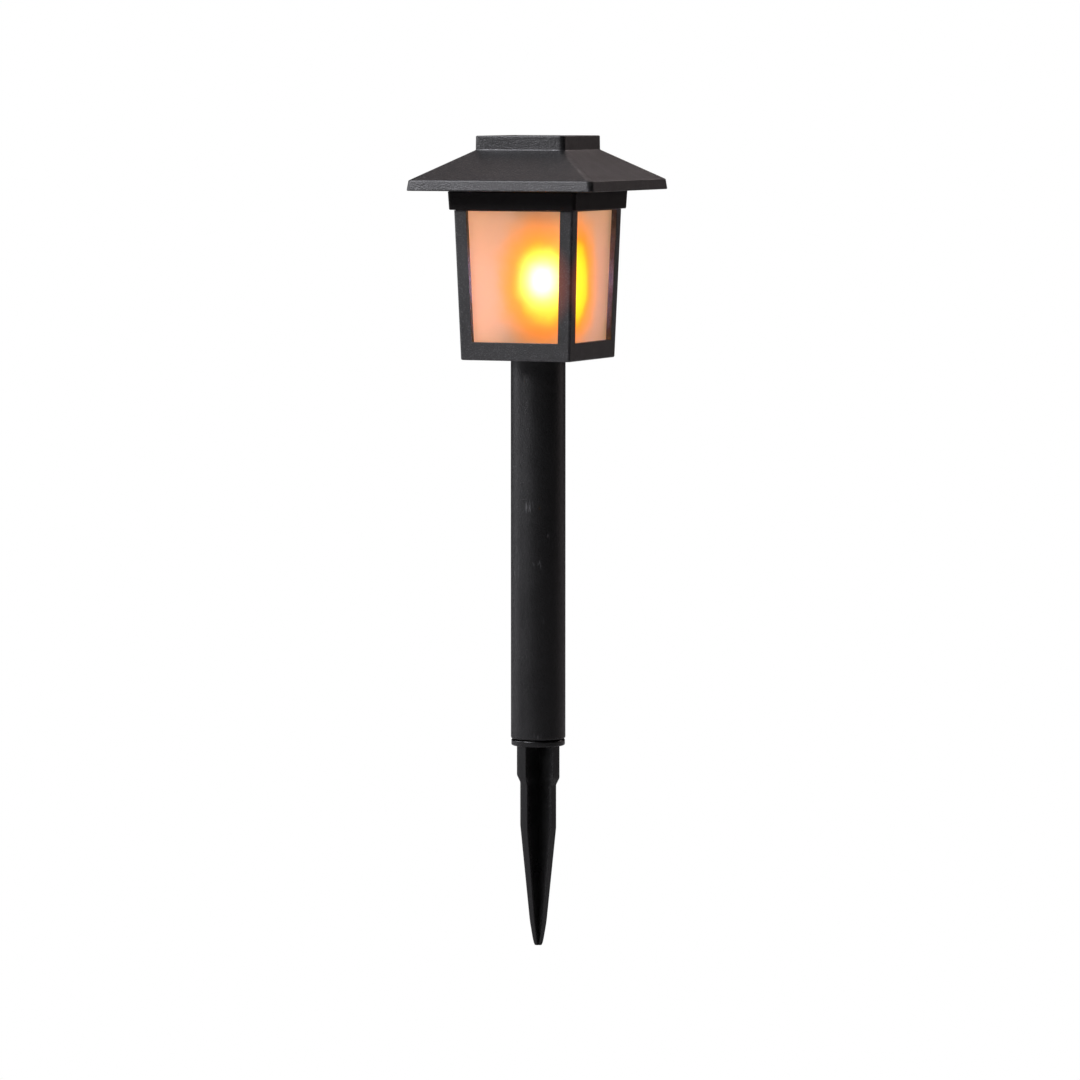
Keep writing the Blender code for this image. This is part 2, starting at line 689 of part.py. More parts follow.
def battery(parent):
    """A short rechargeable cell on its side, with a flat contact at one end and a spring at the other."""
    edge = BATTERY_EDGE
    shape = bmesh.new()
    loft(shape, [
        round_ring(BATTERY_R - edge, 0, SMALL_STEPS),
        round_ring(BATTERY_R, edge, SMALL_STEPS),
        round_ring(BATTERY_R, BATTERY_LENGTH - edge, SMALL_STEPS),
        round_ring(BATTERY_R - edge, BATTERY_LENGTH, SMALL_STEPS),
        round_ring(BATTERY_NUB_R, BATTERY_LENGTH, SMALL_STEPS),
        round_ring(BATTERY_NUB_R, BATTERY_LENGTH + BATTERY_NUB_LENGTH, SMALL_STEPS),
    ])
    green = material("battery_green", (0.03, 0.25, 0.09), 0.35)
    piece_of("battery", shape, green, parent, (BATTERY_MINUS, BATTERY_Y, BATTERY_Z), (0, 90, 0))
    metal = material("contact_steel", (0.62, 0.62, 0.6), 0.3, metallic=1.0)
    for name, x in (("battery_contact_plus", PLUS_PLATE), ("battery_contact_minus", MINUS_PLATE)):
        plate = bmesh.new()
        box(plate, (0, -CONTACT_WIDTH / 2, 0), (CONTACT_THICK, CONTACT_WIDTH / 2, CONTACT_HEIGHT))
        piece_of(name, plate, metal, parent, (x, BATTERY_Y, FLOOR_TOP + GAP))
    battery_spring(parent, metal)


def battery_spring(parent, metal):
    """A cone-shaped coil that presses on the battery's flat end."""
    length = SPRING_LENGTH - 2 * SPRING_WIRE_R
    centres = []
    for step in range(SPRING_STEPS + 1):
        share = step / SPRING_STEPS
        angle = 2 * math.pi * SPRING_TURNS * share
        radius = SPRING_R_WIDE + (SPRING_R_NARROW - SPRING_R_WIDE) * share
        centres.append(Vector((
            SPRING_WIRE_R + length * share,
            radius * math.cos(angle),
            radius * math.sin(angle),
        )))
    shape = bmesh.new()
    loft(shape, [wire_ring(centres, step) for step in range(SPRING_STEPS + 1)])
    at = (BATTERY_MINUS - GAP - SPRING_LENGTH, BATTERY_Y, BATTERY_Z)
    piece_of("battery_spring", shape, metal, parent, at)


def wire_ring(centres, index):
    """A few points around a wire's centre line, square to its run."""
    before = centres[max(index - 1, 0)]
    after = centres[min(index + 1, len(centres) - 1)]
    along = (after - before).normalized()
    across = along.cross(Vector((1, 0, 0))).normalized()
    lift = across.cross(along)
    angles = [2 * math.pi * step / SPRING_WIRE_SIDES for step in range(SPRING_WIRE_SIDES)]
    middle = centres[index]
    return [middle + SPRING_WIRE_R * (across * math.cos(a) + lift * math.sin(a)) for a in angles]


# The electronics


def circuit_board(parent):
    """The board, with its driver chip and coil on top."""
    shape = bmesh.new()
    box(
        shape,
        (-BOARD_LENGTH / 2, BOARD_EDGE_Y - BOARD_WIDTH, 0),
        (BOARD_LENGTH / 2, BOARD_EDGE_Y, BOARD_THICK),
    )
    green = material("board_green", (0.02, 0.16, 0.06), 0.5)
    piece_of("circuit_board", shape, green, parent, (0, 0, BOARD_Z))
    top = BOARD_Z + BOARD_THICK + GAP
    chip = bmesh.new()
    length, width, height = CHIP_SIZE
    box(chip, (-length / 2, -width / 2, 0), (length / 2, width / 2, height))
    piece_of("driver_chip", chip, material("chip_black", (0.012, 0.012, 0.012), 0.4), parent, (*CHIP_XY, top))
    coil = bmesh.new()
    loft(coil, [
        round_ring(COIL_END_SHARE * COIL_R, 0, SMALL_STEPS),
        round_ring(COIL_R, COIL_END, SMALL_STEPS),
        round_ring(COIL_R, COIL_LENGTH - COIL_END, SMALL_STEPS),
        round_ring(COIL_END_SHARE * COIL_R, COIL_LENGTH, SMALL_STEPS),
    ])
    at = (COIL_XY[0] - COIL_LENGTH / 2, COIL_XY[1], top + COIL_R)
    piece_of("driver_coil", coil, material("coil_green", (0.05, 0.3, 0.2), 0.4), parent, at, (0, 90, 0))


def slide_switch(parent):
    """The switch's case under the board, and the knob that slides in its slot."""
    low = FLOOR_TOP + GAP
    high = BOARD_Z - GAP
    half_x, half_y = SWITCH_SIZE[0] / 2, SWITCH_SIZE[1] / 2
    case = bmesh.new()
    box(case, (-half_x, -half_y, low), (half_x, half_y, high))
    steel = material("switch_steel", (0.55, 0.55, 0.55), 0.35, metallic=1.0)
    body = piece_of("switch_case", case, steel, parent, (0, SWITCH_Y, 0))
    reach = (KNOB_LENGTH + KNOB_TRAVEL) / 2 + GAP
    side = KNOB_WIDTH / 2 + GAP
    slot = bmesh.new()
    box(slot, (-reach, -side, low - CUT), (reach, side, low + SWITCH_SLOT_DEPTH))
    combine(body, "DIFFERENCE", slot, "slot")
    knob = bmesh.new()
    knob_top = low + SWITCH_SLOT_DEPTH - GAP
    box(
        knob,
        (-KNOB_LENGTH / 2, -KNOB_WIDTH / 2, BOX_LIFT - KNOB_REACH),
        (KNOB_LENGTH / 2, KNOB_WIDTH / 2, knob_top),
    )
    white = material("knob_white", (0.75, 0.75, 0.72), 0.4)
    piece_of("switch_knob", knob, white, parent, (-KNOB_TRAVEL / 2, SWITCH_Y, 0))


# The lamp


def lamp(parent):
    """A round-nosed lamp that points down, its two leads, and the holder that they pass through."""
    base = -LED_DROP + LED_LENGTH / 2
    dome = base - LED_LENGTH + LED_R
    rings = []
    for step in range(1, DOME_STEPS + 1):
        angle = step * math.pi / 2 / DOME_STEPS
        rings.append(round_ring(LED_R * math.sin(angle), dome - LED_R * math.cos(angle), SMALL_STEPS))
    rings.append(round_ring(LED_R, base - LED_FLANGE_THICK, SMALL_STEPS))
    rings.append(round_ring(LED_FLANGE_R, base - LED_FLANGE_THICK, SMALL_STEPS))
    rings.append(round_ring(LED_FLANGE_R, base, SMALL_STEPS))
    bulb = bmesh.new()
    loft(bulb, rings)
    glow = material("lamp_glow", (1.0, 0.72, 0.3), 0.15, emission=6.0)
    piece_of("led_bulb", bulb, glow, parent, (LED_X, 0, 0))
    tin = material("lead_tin", (0.6, 0.6, 0.58), 0.35, metallic=1.0)
    for name, x in (("led_lead_plus", LEAD_PITCH / 2), ("led_lead_minus", -LEAD_PITCH / 2)):
        lead = bmesh.new()
        cylinder(lead, LEAD_R, base + GAP, BOARD_Z - GAP, steps=8)
        piece_of(name, lead, tin, parent, (LED_X + x, 0, 0))
    holder_top = BOX_LIFT - GAP
    plug = bmesh.new()
    loft(plug, [
        round_ring(HOLDER_R - HOLDER_EDGE, holder_top - HOLDER_LENGTH, SMALL_STEPS),
        round_ring(HOLDER_R, holder_top - HOLDER_LENGTH + HOLDER_EDGE, SMALL_STEPS),
        round_ring(HOLDER_R, holder_top, SMALL_STEPS),
        round_ring(HOLDER_SPIGOT_R, holder_top, SMALL_STEPS),
        round_ring(HOLDER_SPIGOT_R, FLOOR_TOP + HOLDER_STAND, SMALL_STEPS),
    ])
    holder = piece_of("led_holder", plug, material("holder_black", (0.02, 0.02, 0.02), 0.5), parent)
    holes = bmesh.new()
    hole_low = holder_top - HOLDER_LENGTH - CUT
    hole_high = FLOOR_TOP + HOLDER_STAND + CUT
    for x in (-LEAD_PITCH / 2, LEAD_PITCH / 2):
        cylinder(holes, LEAD_HOLE_R, hole_low, hole_high, LED_X + x, 0, 12)
    combine(holder, "DIFFERENCE", holes, "lead_holes")


# Fasteners and wires


def screws(parent):
    """Four pan-head screws with a cross recess, up through the box floor into the roof's bosses."""
    head_top = BOX_LIFT - GAP
    shape = bmesh.new()
    loft(shape, [
        round_ring(0.62 * SCREW_HEAD_R, -SCREW_HEAD_THICK, SMALL_STEPS),
        round_ring(0.92 * SCREW_HEAD_R, -0.6 * SCREW_HEAD_THICK, SMALL_STEPS),
        round_ring(SCREW_HEAD_R, -0.15 * SCREW_HEAD_THICK, SMALL_STEPS),
        round_ring(SCREW_HEAD_R, 0, SMALL_STEPS),
        round_ring(SCREW_R, 0, SMALL_STEPS),
        round_ring(SCREW_R, SCREW_LENGTH - SCREW_POINT, SMALL_STEPS),
        round_ring(0.3 * SCREW_R, SCREW_LENGTH - GAP, SMALL_STEPS),
    ])
    data = mesh_of("base_screw", shape)
    zinc = material("screw_zinc", (0.55, 0.56, 0.58), 0.3, metallic=1.0)
    number = 0
    for x in (-BOSS_XY, BOSS_XY):
        for y in (-BOSS_XY, BOSS_XY):
            number += 1
            screw = place(f"base_screw_{number}", data, zinc, parent, (x, y, head_top))
            recess = bmesh.new()
            arm = SCREW_CROSS_REACH
            low = -SCREW_HEAD_THICK - CUT
            high = SCREW_CROSS_DEPTH - SCREW_HEAD_THICK
            half = SCREW_CROSS / 2
            corners = []
            for px, py in ((1, 0), (0, 1), (-1, 0), (0, -1)):
                corners.append((px * arm + py * half, py * arm - px * half))
                corners.append((px * arm - py * half, py * arm + px * half))
                corners.append((px * half - py * half, py * half + px * half))
            loft(recess, [[(cx, cy, z) for cx, cy in corners] for z in (low, high)])
            combine(screw, "DIFFERENCE", recess, "recess")


def wire(name, points, finish, parent):
    """An insulated wire: a bevelled curve read from a smooth line through a few points."""
    smooth = smooth_line([Vector(point) for point in points], WIRE_STEPS)
    curve = bpy.data.curves.new(name, "CURVE")
    curve.dimensions = "3D"
    curve.bevel_depth = WIRE_R * MM
    curve.bevel_resolution = 2
    curve.use_fill_caps = True
    spline = curve.splines.new("POLY")
    spline.points.add(len(smooth) - 1)
    for target, point in zip(spline.points, smooth):
        target.co = (*(point * MM), 1.0)
    curve.materials.append(finish)
    piece = bpy.data.objects.new(name, curve)
    piece.parent = parent
    bpy.context.scene.collection.objects.link(piece)


def smooth_line(points, steps):
    """Catmull-Rom curve through the points."""
    padded = [2 * points[0] - points[1], *points, 2 * points[-1] - points[-2]]
    line = []
    for p0, p1, p2, p3 in zip(padded, padded[1:], padded[2:], padded[3:]):
        for step in range(steps):
            t = step / steps
            line.append(0.5 * (2 * p1 + (p2 - p0) * t + (2 * p0 - 5 * p1 + 4 * p2 - p3) * t**2
                               + (3 * p1 - p0 - 3 * p2 + p3) * t**3))
    line.append(points[-1])
    return line


def wires(parent):
    """Two wires from the solar panel and two from the battery, all ending on the board."""
    board_top = BOARD_Z + BOARD_THICK + GAP
    panel = WELL_Z + FOAM_THICK + THIN_GAP
    red = material("wire_red", (0.5, 0.02, 0.015), 0.4)
    black = material("wire_black", (0.02, 0.02, 0.02), 0.4)
    tab_y = BATTERY_Y - CONTACT_WIDTH / 2 - GAP
    tabs = {"red": PLUS_PLATE, "black": MINUS_PLATE + CONTACT_THICK}
    for label, side, finish in (("red", 1, red), ("black", -1, black)):
        tab_x = tabs[label]
        start_x = side * PANEL_WIRE_PITCH / 2
        end_x = side * BOARD_LENGTH / 2 - side
        wire(f"panel_wire_{label}", (
            (start_x, PANEL_WIRE_Y, panel),
            (start_x, PANEL_WIRE_Y, panel - 2.5),
            (1.2 * side, PANEL_WIRE_Y - 1.2, (panel + board_top) / 2),
            (1.2 * side, PANEL_WIRE_Y - 2.4, board_top + 2.0),
            (1.2 * side, PANEL_WIRE_Y - 2.4, board_top),
        ), finish, parent)
        wire(f"battery_wire_{label}", (
            (tab_x, tab_y, BATTERY_Z),
            (tab_x, tab_y - 1.6, BATTERY_Z + 0.3),
            ((tab_x + end_x) / 2, tab_y - 3.2, BATTERY_Z + 0.6),
            (end_x, tab_y - 4.4, board_top + 1.4),
            (end_x, tab_y - 4.4, board_top),
        ), finish, parent)


def main():
    clear_scene()
    ground_stake(None)
    pole = axis_empty("pole_axis", None, POLE_Z)
    pole_tube(pole)
    lantern = axis_empty("lantern_axis", pole, LANTERN_Z - POLE_Z)
    lantern_frame(lantern)
    window_liner(lantern)
    module = axis_empty("module_axis", lantern, MODULE_Z - LANTERN_Z)
    module_base(module)
    roof_cap(module)
    solar_panel(module)
    battery(module)
    circuit_board(module)
    slide_switch(module)
    lamp(module)
    screws(module)
    wires(module)


main()
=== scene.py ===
# %% [markdown]
# # A small solar lantern on a ground stake
# The real lantern is a handful of plastic mouldings around one amber lamp: a ribbed stake, a round pole, a square
# frame with frosted windows, and a roof that holds the solar panel and the battery. Its solids are already packed
# with their joints. This lesson loads them as a frame that never moves, and makes a finer skin for most of them.
# %% Load the frame
import math

import bpy
import numpy as np
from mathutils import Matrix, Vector


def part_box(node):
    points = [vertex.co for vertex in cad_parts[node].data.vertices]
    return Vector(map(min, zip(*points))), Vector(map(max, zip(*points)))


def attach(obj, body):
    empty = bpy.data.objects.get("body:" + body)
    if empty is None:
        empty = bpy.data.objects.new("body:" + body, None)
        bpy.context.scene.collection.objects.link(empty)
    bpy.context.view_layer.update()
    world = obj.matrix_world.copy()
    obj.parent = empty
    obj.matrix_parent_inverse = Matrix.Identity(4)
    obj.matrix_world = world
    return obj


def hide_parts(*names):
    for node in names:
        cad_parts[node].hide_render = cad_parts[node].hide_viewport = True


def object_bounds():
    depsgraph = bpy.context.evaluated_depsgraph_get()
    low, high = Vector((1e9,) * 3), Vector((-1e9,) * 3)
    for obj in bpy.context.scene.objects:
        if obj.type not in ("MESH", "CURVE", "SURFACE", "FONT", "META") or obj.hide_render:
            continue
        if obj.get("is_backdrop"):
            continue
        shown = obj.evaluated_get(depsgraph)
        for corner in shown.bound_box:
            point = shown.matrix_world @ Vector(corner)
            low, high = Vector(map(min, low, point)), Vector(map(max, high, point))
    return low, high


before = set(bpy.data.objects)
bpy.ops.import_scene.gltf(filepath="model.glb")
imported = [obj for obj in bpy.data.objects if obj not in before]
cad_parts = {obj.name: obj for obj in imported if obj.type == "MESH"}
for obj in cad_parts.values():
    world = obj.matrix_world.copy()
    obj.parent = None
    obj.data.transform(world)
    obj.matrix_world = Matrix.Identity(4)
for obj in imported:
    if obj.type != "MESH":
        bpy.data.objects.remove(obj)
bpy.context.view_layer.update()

MM = 0.001  # metres in a millimetre

# %% [markdown]
# Every height here hangs on the solids. A node's box gives where it starts and ends, so the levels of a skin are
# read from there, and only the small sizes in between, such as an edge's radius, are written down.
# %% Where each solid sits


def reach_of(node):
    """Half the widest side of a node's box, and its lowest and highest level, in millimetres."""
    low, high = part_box(node)
    return max(high.x, high.y) / MM, low.z / MM, high.z / MM


POLE_R, POLE_LOW, POLE_HIGH = reach_of("pole_tube")
LANTERN_HALF, LANTERN_LOW, RIM_TOP = reach_of("lantern_frame")
_, LINER_LOW, LINER_HIGH = reach_of("window_liner")
BASE_HALF, BASE_LOW, _ = reach_of("module_base")
BASE_HIGH = BASE_LOW + 5.0  # the rim of the base; the posts inside it stand higher
EAVE_HALF, _, ROOF_TOP = reach_of("roof_cap")
_, STAKE_TIP, _ = reach_of("ground_stake")
print("pole", POLE_LOW, POLE_HIGH, "lantern", LANTERN_LOW, RIM_TOP, "roof top", ROOF_TOP)

# %% [markdown]
# ## Surfaces from grids
# All these mouldings have one thing in common: a profile that runs up the outside and comes down the inside, carried
# round a square or a circle. Blender could do it with bevelled cubes, but then each edge would have to be found again
# by hand. A grid of points is simpler: a row is one ring, a column is one place around it, and the whole skin comes
# from a few arrays. Moulded plastic never has a knife edge, so the profile's corners become arcs first.
# %% Round a profile's corners
GUARD = 0.15  # a flat's own points stop this far before an arc, which keeps the flat's shading flat


def soften(corners, radii, steps=4):
    """A line through corners, with an arc of its radius at each.

    The arc between the two touching points is the rational curve with weights 1, cos(turn / 2), 1, which is a true
    circle. Returns the points and how far each is on an edge: 1 on an arc that turns left, -1 on one to the right.
    """
    corners, radii = np.asarray(corners, float), np.asarray(radii, float)
    ahead = np.diff(corners, axis=0, append=corners[:1])
    length = np.linalg.norm(ahead, axis=1)
    ahead /= length[:, None]
    behind = np.roll(ahead, 1, axis=0)
    turn = np.arctan2(behind[:, 0] * ahead[:, 1] - behind[:, 1] * ahead[:, 0], (behind * ahead).sum(1))
    turn = np.where(radii > 0, turn, 0.0)
    reach = radii * np.abs(np.tan(turn / 2))
    room = np.maximum(length - reach - np.roll(reach, -1), 0)
    guard = np.where(radii > 0, 1.0, 0.0)
    start, end = corners - behind * reach[:, None], corners + ahead * reach[:, None]
    share = np.linspace(0, 1, steps + 1)[None, :, None]
    weight = np.cos(turn / 2)[:, None, None]
    blend = ((1 - share) ** 2, 2 * weight * share * (1 - share), share**2)
    arc = (blend[0] * start[:, None] + blend[1] * corners[:, None] + blend[2] * end[:, None]) / sum(blend)
    before = start - behind * (guard * np.minimum(GUARD, np.roll(room, 1) / 3))[:, None]
    after = end + ahead * (guard * np.minimum(GUARD, room / 3))[:, None]
    line = np.concatenate([before[:, None], arc, after[:, None]], axis=1)
    on_arc = np.broadcast_to(np.sign(turn)[:, None], line.shape[:2]).copy()
    on_arc[:, [0, -1]] = 0
    line, on_arc = line.reshape(-1, 2), on_arc.reshape(-1)
    fresh = np.linalg.norm(np.diff(line, axis=0, prepend=line[:1] + 1), axis=1) > 1e-6
    return line[fresh], on_arc[fresh]


print("a square's corner of radius 1:", soften([(0, 0), (2, 0), (2, 2)], [0, 1, 0])[0].round(2).tolist())

# %% [markdown]
# Next come the paths that a profile is carried round. The square one has rounded corners and leans in or out with the
# profile. Both paths can have the same number of columns, so a skin may start as a circle and end as a square.
# %% Rings
ACROSS, ARC = 17, 6  # points along the middle of a square's side, and steps round its corner
SIDE = ACROSS + 6 + ARC - 1  # columns of one side


def square_rings(half, level, corner, stop):
    """Rings of a rounded square, as (rows, columns, 3), and how far each column is on a corner.

    Along the front side x runs from -(half - corner) to half - corner at y = -half, then a quarter circle leads to
    the next side, which is the same side turned by 90 degrees. stop is where the side's middle part ends.
    """
    half, level = (np.asarray(v, float)[:, None] for v in (half, level))
    corner = np.minimum(np.asarray(corner, float)[:, None], half)
    straight = half - corner
    stop = np.minimum(np.asarray(stop, float)[:, None], np.maximum(straight - 3 * GUARD, 0.5 * straight))
    guard, wide = np.minimum(GUARD, (straight - stop) / 3), np.minimum(0.4, (straight - stop) / 3)
    outer = np.concatenate([straight, straight - guard, stop + wide], axis=1)
    x = np.concatenate([-outer, stop * np.linspace(-1, 1, ACROSS), outer[:, ::-1]], axis=1)
    angle = np.radians(np.linspace(-90, 0, ARC + 1)[1:-1])
    side_x = np.concatenate([x, straight + corner * np.cos(angle)], axis=1)
    side_y = np.concatenate([-half + 0 * x, -straight + corner * np.sin(angle)], axis=1)
    quarter = [(side_x, side_y), (-side_y, side_x), (-side_x, -side_y), (side_y, -side_x)]
    x, y = (np.concatenate([q[i] for q in quarter], axis=1) for i in (0, 1))
    on_corner = np.tile(np.r_[1, np.zeros(ACROSS + 4), np.ones(ARC)], 4)
    return np.stack([x, y, level + 0 * x], axis=2), on_corner


def round_rings(radius, level, columns=96, centre=(0.0, 0.0)):
    """Rings of a circle, as (rows, columns, 3): the angle grows evenly from column to column."""
    radius, level = (np.asarray(v, float)[:, None] for v in (radius, level))
    angle = 2 * np.pi * (np.arange(columns) - (ACROSS + 5) / 2)[None] / columns - np.pi / 2
    x, y = centre[0] + radius * np.cos(angle), centre[1] + radius * np.sin(angle)
    return np.stack([x, y, level + 0 * x], axis=2)


print("a square ring has", 4 * SIDE, "columns")

# %% [markdown]
# The mesh maker joins neighbours in the grid with faces. Points that fall together, at a pole or a seam, are merged
# as whole arrays: the grid's points are sorted, and a face that loses a corner becomes a triangle. If the skin's
# volume comes out negative its faces look inwards, so they are all turned round.
# %% Make a mesh from grids


def cells_of(rows, columns, loop=False):
    """The corners of every cell between neighbouring rings, as (rows, columns, 4) point numbers."""
    number = np.arange(rows * columns).reshape(rows, columns)
    above = np.roll(number, -1, axis=0)
    cells = np.stack([number, np.roll(number, -1, 1), np.roll(above, -1, 1), above], axis=2)
    return cells if loop else cells[:-1]


def signed_volume(points, faces):
    """A sixth of the sum of the triple products of each face's two triangles."""
    a, b, c, d = (points[faces[:, i]] for i in range(4))
    return (np.cross(a, b) * c).sum() / 6 + (np.cross(a, c) * d).sum() / 6


def make_piece(name, shells, sharp=32):
    """An object from closed shells of (points in millimetres, four-cornered faces, value on an edge per point)."""
    all_points, all_faces, all_edge, first = [], [], [], 0
    for points, faces, edge in shells:
        points, faces = points.reshape(-1, 3), faces.reshape(-1, 4)
        if signed_volume(points, faces) < 0:
            faces = faces[:, ::-1]
        all_points.append(points)
        all_faces.append(faces + first)
        all_edge.append(np.broadcast_to(edge, len(points)).reshape(-1))
        first += len(points)
    points, edge = np.concatenate(all_points), np.concatenate(all_edge)
    _, kept, index = np.unique(points.round(5), axis=0, return_index=True, return_inverse=True)
    faces = index.reshape(-1)[np.concatenate(all_faces)]
    double = faces == np.roll(faces, -1, axis=1)
    lost = double.sum(1)
    triangles = faces[lost == 1][~double[lost == 1]].reshape(-1, 3)
    mesh = bpy.data.meshes.new(name)
    mesh.from_pydata((points[kept] * MM).tolist(), [], faces[lost == 0].tolist() + triangles.tolist())
    mesh.attributes.new("edge", "FLOAT", "POINT").data.foreach_set("value", edge[kept].astype(np.float32))
    mesh.polygons.foreach_set("use_smooth", np.ones(len(mesh.polygons), bool))
    mesh.set_sharp_from_angle(angle=math.radians(sharp))
    piece = bpy.data.objects.new(name, mesh)
    bpy.context.scene.collection.objects.link(piece)
    print(f"{name}: {len(mesh.vertices)} points, {len(mesh.polygons)} faces")
    return piece


def shell(rings, edge=0.0, loop=False):
    """A closed shell from rings. Unless the last ring joins the first, each end closes on its middle."""
    if not loop:
        ends = [np.broadcast_to(rings[i].mean(0), rings[i].shape)[None] for i in (0, -1)]
        rings = np.concatenate([ends[0], rings, ends[1]])
        if np.ndim(edge):
            edge = np.concatenate([edge[:1], edge, edge[-1:]])
    return rings, cells_of(*rings.shape[:2], loop), edge if np.ndim(edge) == 0 else edge.reshape(-1)


def install(piece, body, slot, material, *nodes):
    """A finished piece rides on its body, takes its finish and stands for the solids it is drawn over."""
    piece.data.materials.append(material)
    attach(piece, body)
    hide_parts(*nodes)

# %% [markdown]
# ## Finishes
# A finish here is a small tree of nodes. Written out by hand each node takes four lines, so one helper adds a node,
# fills its sockets and links whatever is itself a socket. Effects that several plastics share become node groups, so
# that one change reaches them all, and a group hands out only masks and heights: the shader stays in its material.
# %% Node helpers


def add(tree, kind, values=None, **settings):
    """A new node. A value that is a socket is linked, and anything else is set on the input."""
    node = tree.nodes.new("ShaderNode" + kind)
    for name, value in settings.items():
        setattr(node, name, value)
    for socket, value in (values or {}).items():
        if isinstance(value, bpy.types.NodeSocket):
            tree.links.new(value, node.inputs[socket])
        else:
            node.inputs[socket].default_value = value
    return node


def calc(tree, operation, *values):
    return add(tree, "Math", dict(enumerate(values)), operation=operation).outputs[0]


def remap(tree, value, low, high, to_low=0.0, to_high=1.0, kind="SMOOTHSTEP"):
    values = {"Value": value, "From Min": low, "From Max": high, "To Min": to_low, "To Max": to_high}
    return add(tree, "MapRange", values, interpolation_type=kind).outputs[0]


def mix_colour(tree, share, first, second):
    first, second = ((*c, 1.0) if isinstance(c, tuple) else c for c in (first, second))
    return add(tree, "Mix", {0: share, 6: first, 7: second}, data_type="RGBA").outputs[2]


def noise(tree, place, scale, detail=2.0, roughness=0.5):
    """Even noise around 0.5. scale is in features per metre."""
    values = {"Vector": place, "Scale": scale, "Detail": detail, "Roughness": roughness}
    return add(tree, "TexNoise", values).outputs[0]


def stretch(tree, place, scale):
    return add(tree, "Mapping", {"Vector": place, "Scale": scale}).outputs[0]


def new_group(name, inputs, outputs):
    """A node group with named sockets. Returns it with what comes in and where results go."""
    tree = bpy.data.node_groups.new(name, "ShaderNodeTree")
    for label, kind, start in inputs:
        socket = tree.interface.new_socket(label, in_out="INPUT", socket_type="NodeSocket" + kind)
        if start is not None:
            socket.default_value = start
    for label in outputs:
        tree.interface.new_socket(label, in_out="OUTPUT", socket_type="NodeSocketFloat")
    return tree, tree.nodes.new("NodeGroupInput").outputs, tree.nodes.new("NodeGroupOutput").inputs


def use_group(tree, group, values):
    node = tree.nodes.new("ShaderNodeGroup")
    node.node_tree = group
    for socket, value in values.items():
        if isinstance(value, bpy.types.NodeSocket):
            tree.links.new(value, node.inputs[socket])
        else:
            node.inputs[socket].default_value = value
    return node.outputs


def new_material(name, roughness=0.5, **constants):
    """A material with one Principled shader. Constants are the shader's own sockets, with _ for a space."""
    material = bpy.data.materials.new(name)
    material.use_nodes = True
    tree = material.node_tree
    shader = tree.nodes["Principled BSDF"]
    shader.inputs["Roughness"].default_value = roughness
    for socket, value in constants.items():
        shader.inputs[socket.replace("_", " ")].default_value = value
    place = add(tree, "TexCoord").outputs["Object"]
    return material, tree, shader, place


def feed(tree, shader, **sockets):
    for socket, value in sockets.items():
        tree.links.new(value, shader.inputs[socket.replace("_", " ")])


def bump(tree, height, depth):
    """depth is in metres, as heights are."""
    values = {"Height": height, "Distance": depth, "Strength": 1.0}
    return add(tree, "Bump", values).outputs[0]


print("node helpers ready")

# %% [markdown]
# The steel moulds are etched, so the plastic comes out with a fine stipple. Two noises, one at the size of the grain
# and one three times coarser, give its height, and the tops of the grain are handed out as a mask for a painted
# highlight.
# %% Stipple group
stipple, come, go = new_group(
    "etched stipple", [("Place", "Vector", None), ("Grain mm", "Float", 0.35)], ["Height", "Tops"]
)
per_metre = calc(stipple, "DIVIDE", 1000.0, come["Grain mm"])
fine = noise(stipple, come["Place"], per_metre, detail=1.5, roughness=0.6)
coarse = noise(stipple, come["Place"], calc(stipple, "DIVIDE", per_metre, 3.0), detail=1.0)
both = calc(stipple, "ADD", calc(stipple, "MULTIPLY", fine, 0.8), calc(stipple, "MULTIPLY", coarse, 0.2))
stipple.links.new(both, go["Height"])
# the grain's tops: a mask for a painted highlight
stipple.links.new(remap(stipple, both, 0.5, 0.66), go["Tops"])
print("stipple:", [s.name for s in stipple.interface.items_tree])

# %% [markdown]
# Edges are rubbed first, and their paleness is part wear, part painted highlight. Each skin carries how far a point is
# on an edge, so the pale edge follows real edges at any size, and noise breaks it up. Handling leaves cloudy smudges
# and, here and there, a short dull scratch.
# %% Wear and handling groups
edge_wear_and_highlight, come, go = new_group("rubbed edge", [("Place", "Vector", None), ("Edge", "Float", 0.0)], ["Mask"])
patches = noise(edge_wear_and_highlight, come["Place"], 700.0, detail=3.0, roughness=0.65)
raised = calc(edge_wear_and_highlight, "ADD", come["Edge"], calc(edge_wear_and_highlight, "MULTIPLY", calc(edge_wear_and_highlight, "SUBTRACT", patches, 0.5), 1.6))
edge_wear_and_highlight.links.new(remap(edge_wear_and_highlight, raised, 0.55, 1.25), go["Mask"])

handling, come, go = new_group("handling", [("Place", "Vector", None)], ["Smudge", "Marks"])
handling.links.new(remap(handling, noise(handling, come["Place"], 70.0, 3.0, 0.6), 0.3, 0.7), go["Smudge"])
streaks = noise(handling, stretch(handling, come["Place"], (1.0, 1.0, 0.22)), 1500.0, 1.0)
where = remap(handling, noise(handling, come["Place"], 95.0, 2.0), 0.56, 0.72)
marks = calc(handling, "MULTIPLY", remap(handling, streaks, 0.62, 0.76), where)
handling.links.new(marks, go["Marks"])
print("wear and handling groups ready")

# %% [markdown]
# Black is never black: a moulding from coloured granules is a very dark, slightly cool grey. A paler tone is painted
# on as a highlight on the stipple's tops, and on the edges as part wear, part painted highlight. One function gives
# every black moulding its own numbers.
# %% Black plastics


LAMP_LOW, LAMP_HIGH = reach_of("led_bulb")[1:]
# the middle of the painted glow on the frame and the sleeve, set beside the lamp towards the front right
PAINTED_GLOW_AT = (8.0, -8.0, (LAMP_LOW + LAMP_HIGH) / 2)  # the glow's middle, beside the lamp


